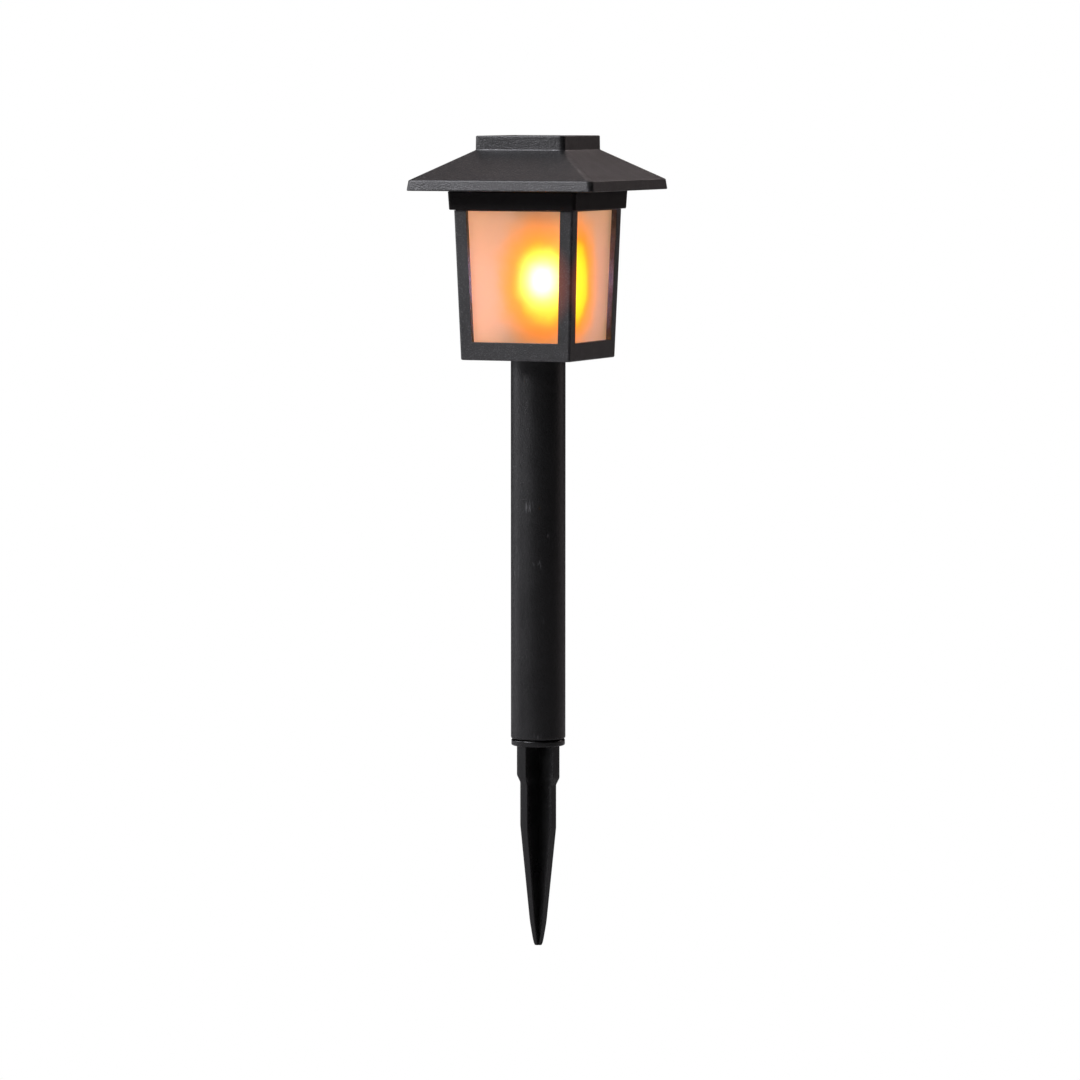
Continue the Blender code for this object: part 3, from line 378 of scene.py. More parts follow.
def from_painted_glow(tree, place):
    """How far a point is from the painted glow's middle, in metres, where a step upwards counts for 0.75."""
    away = add(tree, "VectorMath", {0: place, 1: tuple(c * MM for c in PAINTED_GLOW_AT)}, operation="SUBTRACT").outputs[0]
    return add(tree, "VectorMath", {0: stretch(tree, away, (1.0, 1.0, 0.75))}, operation="LENGTH").outputs["Value"]


def black_plastic(name, dark, pale, roughness, grain, depth, marked, gloss=0.5, paint_lamp_glow=False):
    """A moulded black plastic. grain and depth are millimetres of stipple, marked is how strong scratches show.

    The last flag paints a faint deep red glow on the part near the glow's middle: painted light of the lamp on the
    frame.
    """
    material, tree, shader, place = new_material(name, IOR=1.5, Specular_IOR_Level=gloss)
    if paint_lamp_glow:
        # painted glow: a faint deep red emission near the glow's middle stands for the lamp's light on the frame
        shader.inputs["Emission Strength"].default_value = 1.0
        near = remap(tree, from_painted_glow(tree, place), 14.5 * MM, 10.0 * MM)
        feed(tree, shader, Emission_Color=mix_colour(tree, near, (0.0, 0.0, 0.0), (0.16, 0.022, 0.006)))
    edge = add(tree, "Attribute", attribute_name="edge").outputs["Fac"]
    skin = use_group(tree, stipple, {"Place": place, "Grain mm": grain})
    wear_and_highlight = use_group(tree, edge_wear_and_highlight, {"Place": place, "Edge": edge})["Mask"]
    held = use_group(tree, handling, {"Place": place})
    clouded = mix_colour(tree, held["Smudge"], tuple(0.82 * c for c in dark), tuple(1.15 * c for c in dark))
    # painted highlight: the stipple's tops are mixed towards the pale tone
    with_grain_highlight = mix_colour(tree, calc(tree, "MULTIPLY", skin["Tops"], 0.45), clouded, pale)
    # the edges are paler: part wear, part painted highlight
    with_wear_and_highlight = mix_colour(tree, calc(tree, "MULTIPLY", wear_and_highlight, 0.5), with_grain_highlight, pale)
    scratched = mix_colour(tree, calc(tree, "MULTIPLY", held["Marks"], marked), with_wear_and_highlight, (0.16, 0.16, 0.165))
    dull = calc(tree, "ADD", remap(tree, held["Smudge"], 0, 1, roughness - 0.05, roughness + 0.06, "LINEAR"),
                calc(tree, "MULTIPLY", wear_and_highlight, -0.1))
    feed(tree, shader, Base_Color=scratched, Roughness=dull, Normal=bump(tree, skin["Height"], depth * MM))
    return material


ROOF_BLACK = black_plastic(
    "roof black", (0.002, 0.002, 0.0021), (0.06, 0.06, 0.062), 0.42, 0.42, 0.13, 0.2, 0.75)
LANTERN_BLACK = black_plastic(
    "lantern black", (0.002, 0.002, 0.0021), (0.06, 0.06, 0.062), 0.42, 0.42, 0.14, 0.2, 0.85, True)
POLE_BLACK = black_plastic("pole black", (0.0015, 0.0015, 0.0016), (0.006, 0.006, 0.0065), 0.4, 0.35, 0.12, 0.5)
STAKE_BLACK = black_plastic("stake black", (0.001, 0.001, 0.001), (0.004, 0.004, 0.004), 0.32, 0.7, 0.02, 0.4)
print("black plastics:", [m.name for m in (ROOF_BLACK, LANTERN_BLACK, POLE_BLACK, STAKE_BLACK)])

# %% [markdown]
# ## The camera
# The lantern is seen from a step to its right and just above its roof, with a long lens. The camera is set before
# the pieces, because it shows how fine each of them has to be.
# %% Camera
CAMERA_TURN = 23.12  # degrees round from the lantern's front
CAMERA_DISTANCE = 1544.0
CAMERA_LEVEL = 185.4
CAMERA_DROP = 4.705  # degrees that it looks down
LENS, SENSOR = 182.3, 36.0


def around(turn, level, distance):
    """A place at a turn in degrees round the upright axis from the front, a level and a distance, in metres."""
    angle = math.radians(turn)
    return Vector((distance * math.sin(angle), -distance * math.cos(angle), level)) * MM


camera = bpy.data.objects.new("camera", bpy.data.cameras.new("camera"))
camera.data.lens, camera.data.sensor_width, camera.data.shift_x = LENS, SENSOR, 0.0017
camera.location = around(CAMERA_TURN, CAMERA_LEVEL, CAMERA_DISTANCE)
camera.rotation_euler = [math.radians(90 - CAMERA_DROP), 0, math.radians(CAMERA_TURN)]
bpy.context.scene.collection.objects.link(camera)
bpy.context.scene.camera = camera
print("camera at", tuple(round(c, 3) for c in camera.location))

# %% [markdown]
# ## The pole
# A plain extruded tube, 1.3 mm thick. Its profile is a closed loop, up the outside and down the bore, with small
# arcs at the four corners where the saw's burr was taken off.
# %% Pole
POLE_BORE = 6.45


def tube(name, outer, inner, low, high, radius):
    """A round tube: the profile is the wall's rectangle, and it closes on itself."""
    corners = [(outer, low), (outer, high), (inner, high), (inner, low)]
    line, edge = soften(corners, [radius] * 4)
    rings = round_rings(line[:, 0], line[:, 1])
    return make_piece(name, [shell(rings, np.repeat(edge[:, None], rings.shape[1], 1), loop=True)])


pole = tube("pole", POLE_R, POLE_BORE, POLE_LOW, POLE_HIGH, 0.35)
install(pole, "pole", "pole_plastic", POLE_BLACK, "pole_tube")

# %% [markdown]
# ## The stake
# The stake is one moulding: four ribs that taper to a point, a round flange that stops at the soil, and a ribbed
# plug for the pole. Looked at from above, a cross is a distance for every angle: near a rib's end it is the end's
# face, and beside the rib it is the flank. Taking the smaller of the two gives the cross, and a soft minimum rounds
# its corners the way a mould does.
# %% Stake
RIB_TURN = -18.3  # degrees between the ribs and the lantern's faces
FLANGE_R, FLANGE_TOP = 7.62, 1.7
EIGHTH = 15  # columns from the middle of a rib's end to the corner between two ribs


def soft_min(a, b, soft):
    """Half the sum less half the root of the squared difference and the squared softness."""
    return 0.5 * (a + b - np.sqrt((a - b) ** 2 + soft**2))


def rib_angles(reach, thick):
    """Angles from a rib's middle to 45 degrees, close together round the corner of its end."""
    corner = np.arctan2(thick / 2, reach)
    near = np.minimum(0.35 * corner, 0.5 / reach)
    knots = np.stack([0 * corner, corner - near, corner + near, 0 * corner + np.pi / 4], axis=1)
    share = np.linspace(0, 3, EIGHTH)
    part = np.minimum(share.astype(int), 2)
    return knots[:, part] + (knots[:, part + 1] - knots[:, part]) * (share - part)


def cross_rings(reach, thick, level, soft=0.12):
    """Rings of a cross: at each angle the nearer of the rib's end face and its flank."""
    reach, thick, level = (np.asarray(v, float) for v in (reach, thick, level))
    angle = rib_angles(reach, thick)
    end = reach[:, None] / np.cos(angle)
    flank = thick[:, None] / 2 / np.sin(np.maximum(angle, 0.02))
    distance = soft_min(end, flank, soft)
    eighth = np.concatenate([angle, np.pi / 2 - angle[:, -2:0:-1]], axis=1)
    distance = np.concatenate([distance, distance[:, -2:0:-1]], axis=1)
    angle = np.concatenate([eighth + quarter * np.pi / 2 for quarter in range(4)], axis=1)
    distance = np.tile(distance, 4)
    turned = angle + math.radians(RIB_TURN)
    rings = np.stack([distance * np.cos(turned), distance * np.sin(turned), level[:, None] + 0 * turned], axis=2)
    return rings, turned


def rib_table(level):
    """How far the ribs reach and how thick they are at each level, from the table of the mould."""
    heights = [STAKE_TIP, STAKE_TIP + 0.5, STAKE_TIP + 1.9, STAKE_TIP + 6.8, -23.4, -11.1, -9.1, 0.0]
    reach = [0.95, 1.25, 1.6, 2.6, 5.95, 5.95, 6.95, 6.95]
    thick = [0.9, 1.1, 1.3, 1.5, 2.1, 2.1, 2.7, 2.7]
    return np.interp(level, heights, reach), np.interp(level, heights, thick)


levels = np.unique(np.r_[np.linspace(STAKE_TIP, STAKE_TIP + 2, 8), np.linspace(STAKE_TIP + 2, -23.6, 24),
                         np.linspace(-23.6, -23.2, 4), np.linspace(-23, -11.3, 8), np.linspace(-11.2, -11.0, 3),
                         np.linspace(-10.8, -9.3, 4), np.linspace(-9.2, -9.0, 3), np.linspace(-8.8, -0.4, 5)])
smooth = np.linspace(-0.25, 0.25, 5)[:, None]
reach, thick = (v.mean(0) for v in rib_table(np.clip(levels[None] + smooth, STAKE_TIP, 0.0)))
ribs, _ = cross_rings(reach, thick, levels)
foot, fan = cross_rings([6.95], [2.7], [0.0])
corners = [(3, 0), (FLANGE_R, 0), (FLANGE_R, FLANGE_TOP), (3, FLANGE_TOP)]
flange_line, flange_edge = soften(corners, [0, 0.35, 0.35, 0])
flange = np.stack([flange_line[:, :1] * np.cos(fan), flange_line[:, :1] * np.sin(fan),
                   flange_line[:, 1:] + 0 * fan], axis=2)
plug_reach, plug_level = [6.0, 6.0, 5.85, 5.3], [FLANGE_TOP, 14.1, 14.4, 15.7]
plug, _ = cross_rings(plug_reach, [2.7] * 4, plug_level)
stake_rings = np.concatenate([ribs, foot, flange[1:-1], plug])
on_edge = np.concatenate([np.zeros(len(ribs) + 1), flange_edge[1:-1], np.zeros(len(plug))])
rib_edge = np.exp(-((rib_angles(reach, thick) - np.arctan2(thick / 2, reach)[:, None]) / 0.06) ** 2)
rib_edge = np.tile(np.concatenate([rib_edge, rib_edge[:, -2:0:-1]], axis=1), 4)
edge = np.repeat(on_edge[:, None], stake_rings.shape[1], 1)
edge[: len(ribs)] = rib_edge
stake = make_piece("stake", [shell(stake_rings, edge)], sharp=40)
install(stake, "stake", "stake_plastic", STAKE_BLACK, "ground_stake")

# %% [markdown]
# ## The lantern's frame
# Four corner posts, a sill, a floor with the pole's socket and a thin rim are all one moulding, so they are one skin
# here too. The profile starts at the roof of the socket's bore, comes down the bore, crosses the underside, climbs
# the leaning wall, and goes down the inside to the top of the socket. Its rings are circles near the axis and squares
# further out. The windows are cells left out of the outer and the inner wall, with the gap between them bridged, and
# a Bevel modifier rounds their edges.
# %% Lantern frame
WALL, FLOOR, POST, CORNER_R = 1.6, 1.6, 3.8, 0.7
FOOT_HALF = 16.67
SHOULDER = LANTERN_LOW + 42.05
SILL_TOP, WINDOW_TOP = LANTERN_LOW + 5.1, LANTERN_LOW + 41.87
RIM_HALF = LANTERN_HALF - 0.25
SOCKET_R, SOCKET_WALL, SOCKET_DEPTH, SOCKET_TOP = 8.05, 1.0, 8.0, 9.4


def lantern_half(level):
    """Half the leaning lantern's width: it grows evenly from its underside to its shoulder."""
    return FOOT_HALF + (LANTERN_HALF - FOOT_HALF) * (np.asarray(level) - LANTERN_LOW) / (SHOULDER - LANTERN_LOW)


def wall_points(levels, inset):
    return [(lantern_half(z) - inset, z) for z in levels]


window_levels = [SILL_TOP - 0.3, SILL_TOP, WINDOW_TOP, WINDOW_TOP + 0.12]
profile = [(0, LANTERN_LOW + SOCKET_DEPTH), (SOCKET_R, LANTERN_LOW + SOCKET_DEPTH), (SOCKET_R, LANTERN_LOW),
           (FOOT_HALF, LANTERN_LOW), *wall_points(window_levels, 0), (LANTERN_HALF, SHOULDER), (RIM_HALF, SHOULDER),
           (RIM_HALF, RIM_TOP), (lantern_half(RIM_TOP) - WALL, RIM_TOP), *wall_points(window_levels[::-1], WALL),
           (lantern_half(LANTERN_LOW + FLOOR) - WALL, LANTERN_LOW + FLOOR),
           (SOCKET_R + SOCKET_WALL, LANTERN_LOW + FLOOR), (SOCKET_R + SOCKET_WALL, LANTERN_LOW + SOCKET_TOP),
           (0, LANTERN_LOW + SOCKET_TOP)]
radii = [0, 0.3, 0.35, 0.4, 0, 0, 0, 0, 0.04, 0.04, 0.25, 0.25, 0, 0, 0, 0, 0.4, 0.4, 0.35, 0]
line, on_edge = soften(profile, radii)
round_part = line[:, 0] < 12
corner, stop = np.full(len(line), CORNER_R), lantern_half(line[:, 1]) - POST
squares, on_corner = square_rings(line[:, 0], line[:, 1], corner, stop)
rings = np.where(round_part[:, None, None], round_rings(line[:, 0], line[:, 1], 4 * SIDE), squares)
edge = np.maximum(on_edge[:, None], np.where(round_part[:, None], 0, 0.8 * on_corner))
row_at = [int(np.argmin(np.hypot(*(line - point).T))) for point in
          [*wall_points([SILL_TOP, WINDOW_TOP], 0), *wall_points([WINDOW_TOP, SILL_TOP], WALL)]]
faces = cells_of(*rings.shape[:2])
number = np.arange(rings.shape[0] * rings.shape[1]).reshape(rings.shape[:2])
columns = (np.arange(4)[:, None] * SIDE + 3 + np.arange(ACROSS - 1)).reshape(-1)
kept = np.ones(faces.shape[:2], bool)
for row in (row_at[0], row_at[2]):
    kept[row, columns] = False
low_out, high_out, high_in, low_in = (number[row] for row in row_at)
sills = [np.stack([low_out[columns], low_out[columns + 1], low_in[columns + 1], low_in[columns]], axis=1),
         np.stack([high_in[columns], high_in[columns + 1], high_out[columns + 1], high_out[columns]], axis=1)]
left, right = np.arange(4) * SIDE + 3, np.arange(4) * SIDE + 3 + ACROSS - 1
jambs = [np.stack([low_out[left], low_in[left], high_in[left], high_out[left]], axis=1),
         np.stack([high_out[right], high_in[right], low_in[right], low_out[right]], axis=1)]
around_window = np.concatenate([columns, right])
for row in row_at:
    edge[row, around_window] = np.maximum(edge[row, around_window], 0.8)
skin = faces[kept]
skin = np.concatenate([skin, *sills, *jambs]) if signed_volume(rings.reshape(-1, 3), skin) > 0 else (
    np.concatenate([skin[:, ::-1], *sills, *jambs]))
lantern = make_piece("lantern", [(rings, skin, edge.reshape(-1))])
soft_edges = lantern.modifiers.new("soft window edges", "BEVEL")
soft_edges.width, soft_edges.segments, soft_edges.limit_method = 0.11 * MM, 3, "ANGLE"
soft_edges.angle_limit, soft_edges.use_clamp_overlap, soft_edges.harden_normals = math.radians(40), False, True
install(lantern, "lantern", "lantern_plastic", LANTERN_BLACK, "lantern_frame")

# %% [markdown]
# ## The frosted sleeve
# Behind the windows stands one four-sided sleeve of frosted plastic. The frost is what makes the lamp look big and
# soft: light goes through, but each ray leaves in a slightly different direction. That is a transmitting shader with
# a rough surface. Light is also painted on the sleeve: a faint peach glow all over, and an amber then yellow glow with
# an amber cast towards a middle set beside the lamp, stand for the lamp's and the studio's light scattered in it.
# %% Frosted material
LAMP_X = (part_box("led_bulb")[0].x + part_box("led_bulb")[1].x) / 2 / MM


def frosted(name):
    """Frosted plastic with painted light: towards the glow's middle its emission turns from peach to amber and then to
    yellow, and its base colour turns amber.
    """
    material, tree, shader, place = new_material(
        name, Transmission_Weight=0.9, IOR=1.3, Emission_Strength=0.2, Specular_IOR_Level=0.15)
    cloud = noise(tree, place, 160.0, 2.0)
    uneven = calc(tree, "MULTIPLY", from_painted_glow(tree, place), remap(tree, cloud, 0.2, 0.8, 0.95, 1.05))
    amber = remap(tree, uneven, 18.5 * MM, 10.5 * MM)
    # painted light: the emission is peach all over, amber and then yellow towards the glow's middle
    painted_glow_colour = mix_colour(tree, amber, (0.60, 0.42, 0.24), (2.0, 0.58, 0.0))
    painted_glow = mix_colour(tree, remap(tree, uneven, 12.0 * MM, 8.6 * MM), painted_glow_colour, (2.0, 2.3, 0.0))
    skin = use_group(tree, stipple, {"Place": place, "Grain mm": 0.22})
    # the base colour turns amber near the glow's middle: painted lamp light
    tint_with_painted_glow = mix_colour(tree, amber, (1.0, 0.72, 0.54), (1.0, 0.5, 0.09))
    frost = remap(tree, skin["Height"], 0.2, 0.8, 0.60, 0.64)
    feed(tree, shader, Base_Color=tint_with_painted_glow, Roughness=frost, Emission_Color=painted_glow,
         Normal=bump(tree, skin["Height"], 0.01 * MM))
    return material


FROSTED = frosted("frosted amber")
LINER_WALL, LINER_INSET = 1.0, 1.9
corners = [(lantern_half(LINER_LOW) - LINER_INSET, LINER_LOW), (lantern_half(LINER_HIGH) - LINER_INSET, LINER_HIGH),
           (lantern_half(LINER_HIGH) - LINER_INSET - LINER_WALL, LINER_HIGH),
           (lantern_half(LINER_LOW) - LINER_INSET - LINER_WALL, LINER_LOW)]
line, on_edge = soften(corners, [0.25] * 4)
corner = np.where(line[:, 0] > corners[2][0], 1.0, 0.7)
rings, _ = square_rings(line[:, 0], line[:, 1], corner, line[:, 0] * 0.8)
liner = make_piece("frosted_sleeve", [shell(rings, np.repeat(on_edge[:, None], rings.shape[1], 1), loop=True)])
install(liner, "lantern", "frosted_amber", FROSTED, "window_liner")

# %% [markdown]
# ## The light module's base
# The black band under the eaves is the skirt of a shallow box. It slips over the lantern's rim, and the box hangs
# inside it. The profile runs from the middle of the box's underside out to the skirt and back over the box's floor.
# The holes for the lamp's holder, the screws and the switch are cut afterwards, because they don't follow the square.
# %% Module base
SKIRT_LOW_HALF, SKIRT_INNER, BOX_OUTER, BOX_INNER = 19.25, 18.15, 16.2, 15.0
BOX_UNDER, BOX_FLOOR, CHANNEL = BASE_LOW + 0.9, BASE_LOW + 2.1, BASE_LOW + 3.8
SCREW_XY, SWITCH_Y = 12.8, -9.5


def square_shell(profile, radii, corner):
    """A closed skin from a softened profile carried round the square, from axis to axis."""
    line, on_edge = soften(profile, radii)
    rings, on_corner = square_rings(line[:, 0], line[:, 1], np.interp(line[:, 0], *corner), line[:, 0] * 0.75)
    return shell(rings, np.maximum(on_edge[:, None], 0.7 * on_corner))


def round_shell(profile, radii, centre=(0.0, 0.0), columns=48, steps=4):
    """The same, carried round a circle."""
    line, on_edge = soften(profile, radii, steps)
    rings = round_rings(line[:, 0], line[:, 1], columns, centre)
    return shell(rings, np.repeat(on_edge[:, None], columns, 1))


def cut(piece, *tools):
    """Cuts closed shells out of a piece with one exact Boolean, applied at once."""
    tool = make_piece(piece.name + "_tool", tools)
    boolean = piece.modifiers.new("holes", "BOOLEAN")
    boolean.object, boolean.solver = tool, "EXACT"
    bpy.context.view_layer.update()
    result = bpy.data.meshes.new_from_object(piece.evaluated_get(bpy.context.evaluated_depsgraph_get()))
    piece.modifiers.clear()
    old, piece.data = piece.data, result
    bpy.data.meshes.remove(old)
    bpy.data.objects.remove(tool)
    piece.data.set_sharp_from_angle(angle=math.radians(32))


def pin(radius, low, high, centre=(0.0, 0.0), soft=0.0):
    return round_shell([(0, low), (radius, low), (radius, high), (0, high)], [0, soft, soft, 0], centre)


def block(half_x, half_y, low, high, centre=(0.0, 0.0), soft=0.0):
    """An upright block with softened edges: a square pin, stretched along x and y."""
    profile = [(0, low), (1, low), (1, high), (0, high)]
    points, faces, edge = square_shell(profile, [0, soft, soft, 0], ([0, 1], [0, soft]))
    return points * (half_x, half_y, 1) + (*centre, 0), faces, edge


SKIRT_FOOT = BASE_LOW - 0.2  # the real skirt sits on the shoulder, and the solids keep a gap there
profile = [(0, BOX_UNDER), (BOX_OUTER, BOX_UNDER), (BOX_OUTER, CHANNEL), (SKIRT_INNER, CHANNEL),
           (SKIRT_INNER, SKIRT_FOOT), (SKIRT_LOW_HALF, SKIRT_FOOT), (BASE_HALF, BASE_HIGH), (BOX_INNER, BASE_HIGH),
           (BOX_INNER, BOX_FLOOR), (0, BOX_FLOOR)]
radii = [0, 0.3, 0.2, 0.2, 0.2, 0.3, 0.25, 0.2, 0.3, 0]
base_shell = square_shell(profile, radii, ([0, 1, 15, 19], [0, 0.3, 0.7, 1.0]))
four = [(x, y) for x in (-SCREW_XY, SCREW_XY) for y in (-SCREW_XY, SCREW_XY)]
cell_low, cell_high = (np.array(corner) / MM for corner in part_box("battery"))
cell_middle = (cell_low + cell_high) / 2
saddles = [block(0.6, 4.0, BOX_FLOOR - 0.5, cell_middle[2] - 1.8, (x, cell_middle[1]), 0.2) for x in (-6.0, 6.0)]
posts = [pin(1.2, BOX_FLOOR - 0.5, BASE_HIGH, (x, -10.4), 0.2) for x in (-7.4, 7.4)]
walls = []
for plate, way in (("battery_contact_plus", 1), ("battery_contact_minus", -1)):
    low, high = (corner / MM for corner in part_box(plate))
    middle = (high.x if way > 0 else low.x) + way * 1.0
    walls.append(block(0.7, 4.0, BOX_FLOOR - 0.5, BOX_FLOOR + 7.8, (middle, cell_middle[1]), 0.2))
base = make_piece("module_skirt", [base_shell, *saddles, *posts, *walls])
cradle_points, cradle_faces, cradle_edge = pin(5.3, -8.0, 8.0)
cradle = (cradle_points[..., [2, 1, 0]] * (1, 1, -1) + (0, *cell_middle[1:]), cradle_faces, cradle_edge)
cut(base, pin(4.3, BASE_LOW - 1, BOX_FLOOR + 1), *[pin(1.3, BASE_LOW - 1, BOX_FLOOR + 1, at) for at in four],
    block(2.1, 1.1, BASE_LOW - 1, BOX_FLOOR + 1, (0, SWITCH_Y)), cradle)
# The skirt's finish is far darker than the roof's, with a red cast, and its pale tone a tenth of the roof's: painted
# shade for its place under the eaves.
SKIRT_BLACK_PAINTED_SHADE = black_plastic(
    "skirt black", (0.002, 0.0004, 0.0004), (0.006, 0.0015, 0.0015), 0.5, 0.34, 0.10, 0.1, 0.2)
install(base, "light_module", "roof_plastic", SKIRT_BLACK_PAINTED_SHADE, "module_base")

# %% [markdown]
# ## The roof
# The roof is one thin moulding too: a plinth with a well for the solar panel, four slopes, and a fascia all round.
# Its profile starts in the middle of the well's floor, climbs out over the rim, runs down the slope and the fascia,
# and comes back underneath. The outer corners have a radius of 1.7 mm, which catches the light as a narrow band, but
# the slopes meet in a crisper ridge, so the corner's radius changes along the profile.
# %% Roof
PLINTH_HALF, PLINTH_FOOT, WELL_HALF = 13.7, 0.25, 12.2
WELL_FLOOR, PLINTH_LOW = ROOF_TOP - 3.4, ROOF_TOP - 4.1
EAVE_LOW, EAVE_HIGH, EAVE_TOP_HALF = ROOF_TOP - 15.3, ROOF_TOP - 12.4, 28.03
FASCIA_WALL, ROOF_WALL, SEAT = 1.4, 1.6, BASE_HIGH + 0.3
slope = (PLINTH_LOW - EAVE_HIGH) / (EAVE_TOP_HALF - PLINTH_HALF - PLINTH_FOOT)
under = ROOF_WALL * math.hypot(1, slope)


def under_slope(half):
    """The level of the roof's inner face: the slope's line, one wall lower."""
    return EAVE_HIGH + (EAVE_TOP_HALF - half) * slope - under


RING_OUT, RING_IN, FLOOR_UNDER = BASE_HALF, BASE_HALF - 1.4, ROOF_TOP - 4.6
profile = [(0, WELL_FLOOR), (WELL_HALF, WELL_FLOOR), (WELL_HALF, ROOF_TOP), (PLINTH_HALF, ROOF_TOP),
           (PLINTH_HALF + 0.05, PLINTH_LOW + 0.1), (EAVE_TOP_HALF, EAVE_HIGH), (EAVE_HALF, EAVE_LOW),
           (EAVE_HALF - FASCIA_WALL, EAVE_LOW), (EAVE_TOP_HALF - FASCIA_WALL, under_slope(EAVE_TOP_HALF - FASCIA_WALL)),
           (RING_OUT, under_slope(RING_OUT)), (RING_OUT, SEAT), (RING_IN, SEAT), (RING_IN, under_slope(RING_IN)),
           (13.0, FLOOR_UNDER), (0, FLOOR_UNDER)]
radii = [0, 0.25, 0.2, 0.3, 0.35, 0.5, 0.25, 0.25, 0.3, 0.3, 0.2, 0.2, 0.3, 0.3, 0]
corner = ([0, 12.2, 13.65, 13.8, 16.4, 26.9, 28.0, 28.5], [0, 0.7, 1.7, 1.7, 1.6, 1.6, 1.7, 1.7])
roof_shell = square_shell(profile, radii, corner)
BOSS_R, BOSS_TOP = 1.9, under_slope(SCREW_XY + 1.9) + 1.0
bosses = [pin(BOSS_R, BASE_LOW + 2.4, BOSS_TOP, at, 0.15) for at in four]
roof = make_piece("roof", [roof_shell, *bosses])
install(roof, "light_module", "roof_plastic", ROOF_BLACK, "roof_cap")

# %% [markdown]
# ## The lamp
# The lamp is a 5 mm amber one that hangs on its two leads in the middle of the lantern, with its dome down. Its dome
# is a profile with one big arc. The resin itself glows, most of all in the dome, so its finish is a shader that also
# emits. Above it the leads go up through a round holder, which plugs into the box.
# %% Lamp, leads and holder


def lamp_resin():
    material, tree, shader, place = new_material(
        "amber resin", 0.12, IOR=1.5, Emission_Strength=40.0, Coat_Weight=0.5)
    level = add(tree, "SeparateXYZ", {0: place}).outputs["Z"]
    up = remap(tree, level, (LAMP_HIGH - 2.5) * MM, (LAMP_HIGH - 0.5) * MM)
    cloudy = remap(tree, noise(tree, place, 900.0), 0.3, 0.7, 0.0, 0.15)
    feed(tree, shader, Base_Color=mix_colour(tree, cloudy, (0.9, 0.42, 0.06), (0.8, 0.3, 0.03)),
         Emission_Color=mix_colour(tree, up, (1.0, 1.0, 2.6), (0.35, 0.25, 0.25)))
    return material


AMBER = lamp_resin()
flange = LAMP_HIGH - 1.0
bulb = make_piece("lamp", [round_shell(
    [(0, LAMP_LOW), (2.5, LAMP_LOW), (2.5, flange), (2.9, flange), (2.9, LAMP_HIGH), (0, LAMP_HIGH)],
    [0, 2.45, 0.12, 0.15, 0.15, 0], (LAMP_X, 0.0), 48, 12)])
install(bulb, "light_module", "lamp_resin", AMBER, "led_bulb")


def metal(name, colour, roughness, grain_scale, stretched=(1.0, 1.0, 0.1)):
    """A plated metal with a drawn grain along one axis and small dull spots."""
    material, tree, shader, place = new_material(name, Metallic=1.0)
    grain = noise(tree, stretch(tree, place, stretched), grain_scale, 2.0)
    spots = remap(tree, noise(tree, place, 700.0, 3.0), 0.52, 0.7)
    toned = mix_colour(tree, spots, colour, tuple(0.62 * c for c in colour))
    uneven = calc(tree, "ADD", grain, calc(tree, "MULTIPLY", spots, 0.3))
    rough = remap(tree, uneven, 0.2, 1.0, roughness, roughness + 0.3)
    feed(tree, shader, Base_Color=toned, Roughness=rough, Normal=bump(tree, grain, 0.01 * MM))
    return material


TINNED = metal("tinned lead", (0.72, 0.71, 0.69), 0.2, 2500.0)
for node in ("led_lead_plus", "led_lead_minus"):
    low, high = (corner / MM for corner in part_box(node))
    middle = ((low.x + high.x) / 2, (low.y + high.y) / 2)
    lead = make_piece(node.replace("led", "lamp"), [round_shell(
        [(0, LAMP_HIGH - 0.2), (0.25, LAMP_HIGH - 0.2), (0.25, high.z), (0, high.z)], [0, 0.05, 0.08, 0], middle, 16)])
    install(lead, "light_module", "tinned_lead", TINNED, node)


def soft_plastic(name, colour, roughness, grain, depth):
    """A pale or coloured plastic: cloudy, finely stippled, and a little greyer where it was handled."""
    material, tree, shader, place = new_material(name, IOR=1.5)
    held = use_group(tree, handling, {"Place": place})
    skin = use_group(tree, stipple, {"Place": place, "Grain mm": grain})
    toned = mix_colour(tree, held["Smudge"], colour, tuple(0.86 * c for c in colour))
    soiled = mix_colour(tree, calc(tree, "MULTIPLY", held["Marks"], 0.3), toned, tuple(0.5 * c for c in colour))
    rough = remap(tree, held["Smudge"], 0, 1, roughness, roughness + 0.12)
    feed(tree, shader, Base_Color=soiled, Roughness=rough, Normal=bump(tree, skin["Height"], depth * MM))
    return material


_, HOLDER_LOW, HOLDER_HIGH = reach_of("led_holder")
HOLDER_SHELF = BASE_LOW + 0.6
holder = make_piece("lamp_holder", [round_shell(
    [(0, HOLDER_LOW), (5.5, HOLDER_LOW), (5.5, HOLDER_SHELF), (4.0, HOLDER_SHELF), (4.0, HOLDER_HIGH), (0, HOLDER_HIGH)],
    [0, 0.6, 0.25, 0.2, 0.3, 0])])
cut(holder, *[pin(0.5, HOLDER_LOW - 1, HOLDER_HIGH + 1, (LAMP_X + way * 1.27, 0.0)) for way in (-1, 1)])
HOLDER_PLASTIC = soft_plastic("holder plastic", (0.045, 0.043, 0.042), 0.45, 0.3, 0.04)
install(holder, "light_module", "holder_plastic", HOLDER_PLASTIC, "led_holder")

# %% [markdown]
# ## The solar panel
# From above one sees a dark blue cell under a slab of clear resin. The fine silver lines are printed on the cell, so
# they are thin raised strips of their own: two wide ones that collect, and many narrow ones that cross them.
# %% Solar panel
CELL_HALF, CELL_LOW, CELL_HIGH = reach_of("solar_cell")
COVER_HALF, COVER_LOW, COVER_HIGH = reach_of("cell_cover")


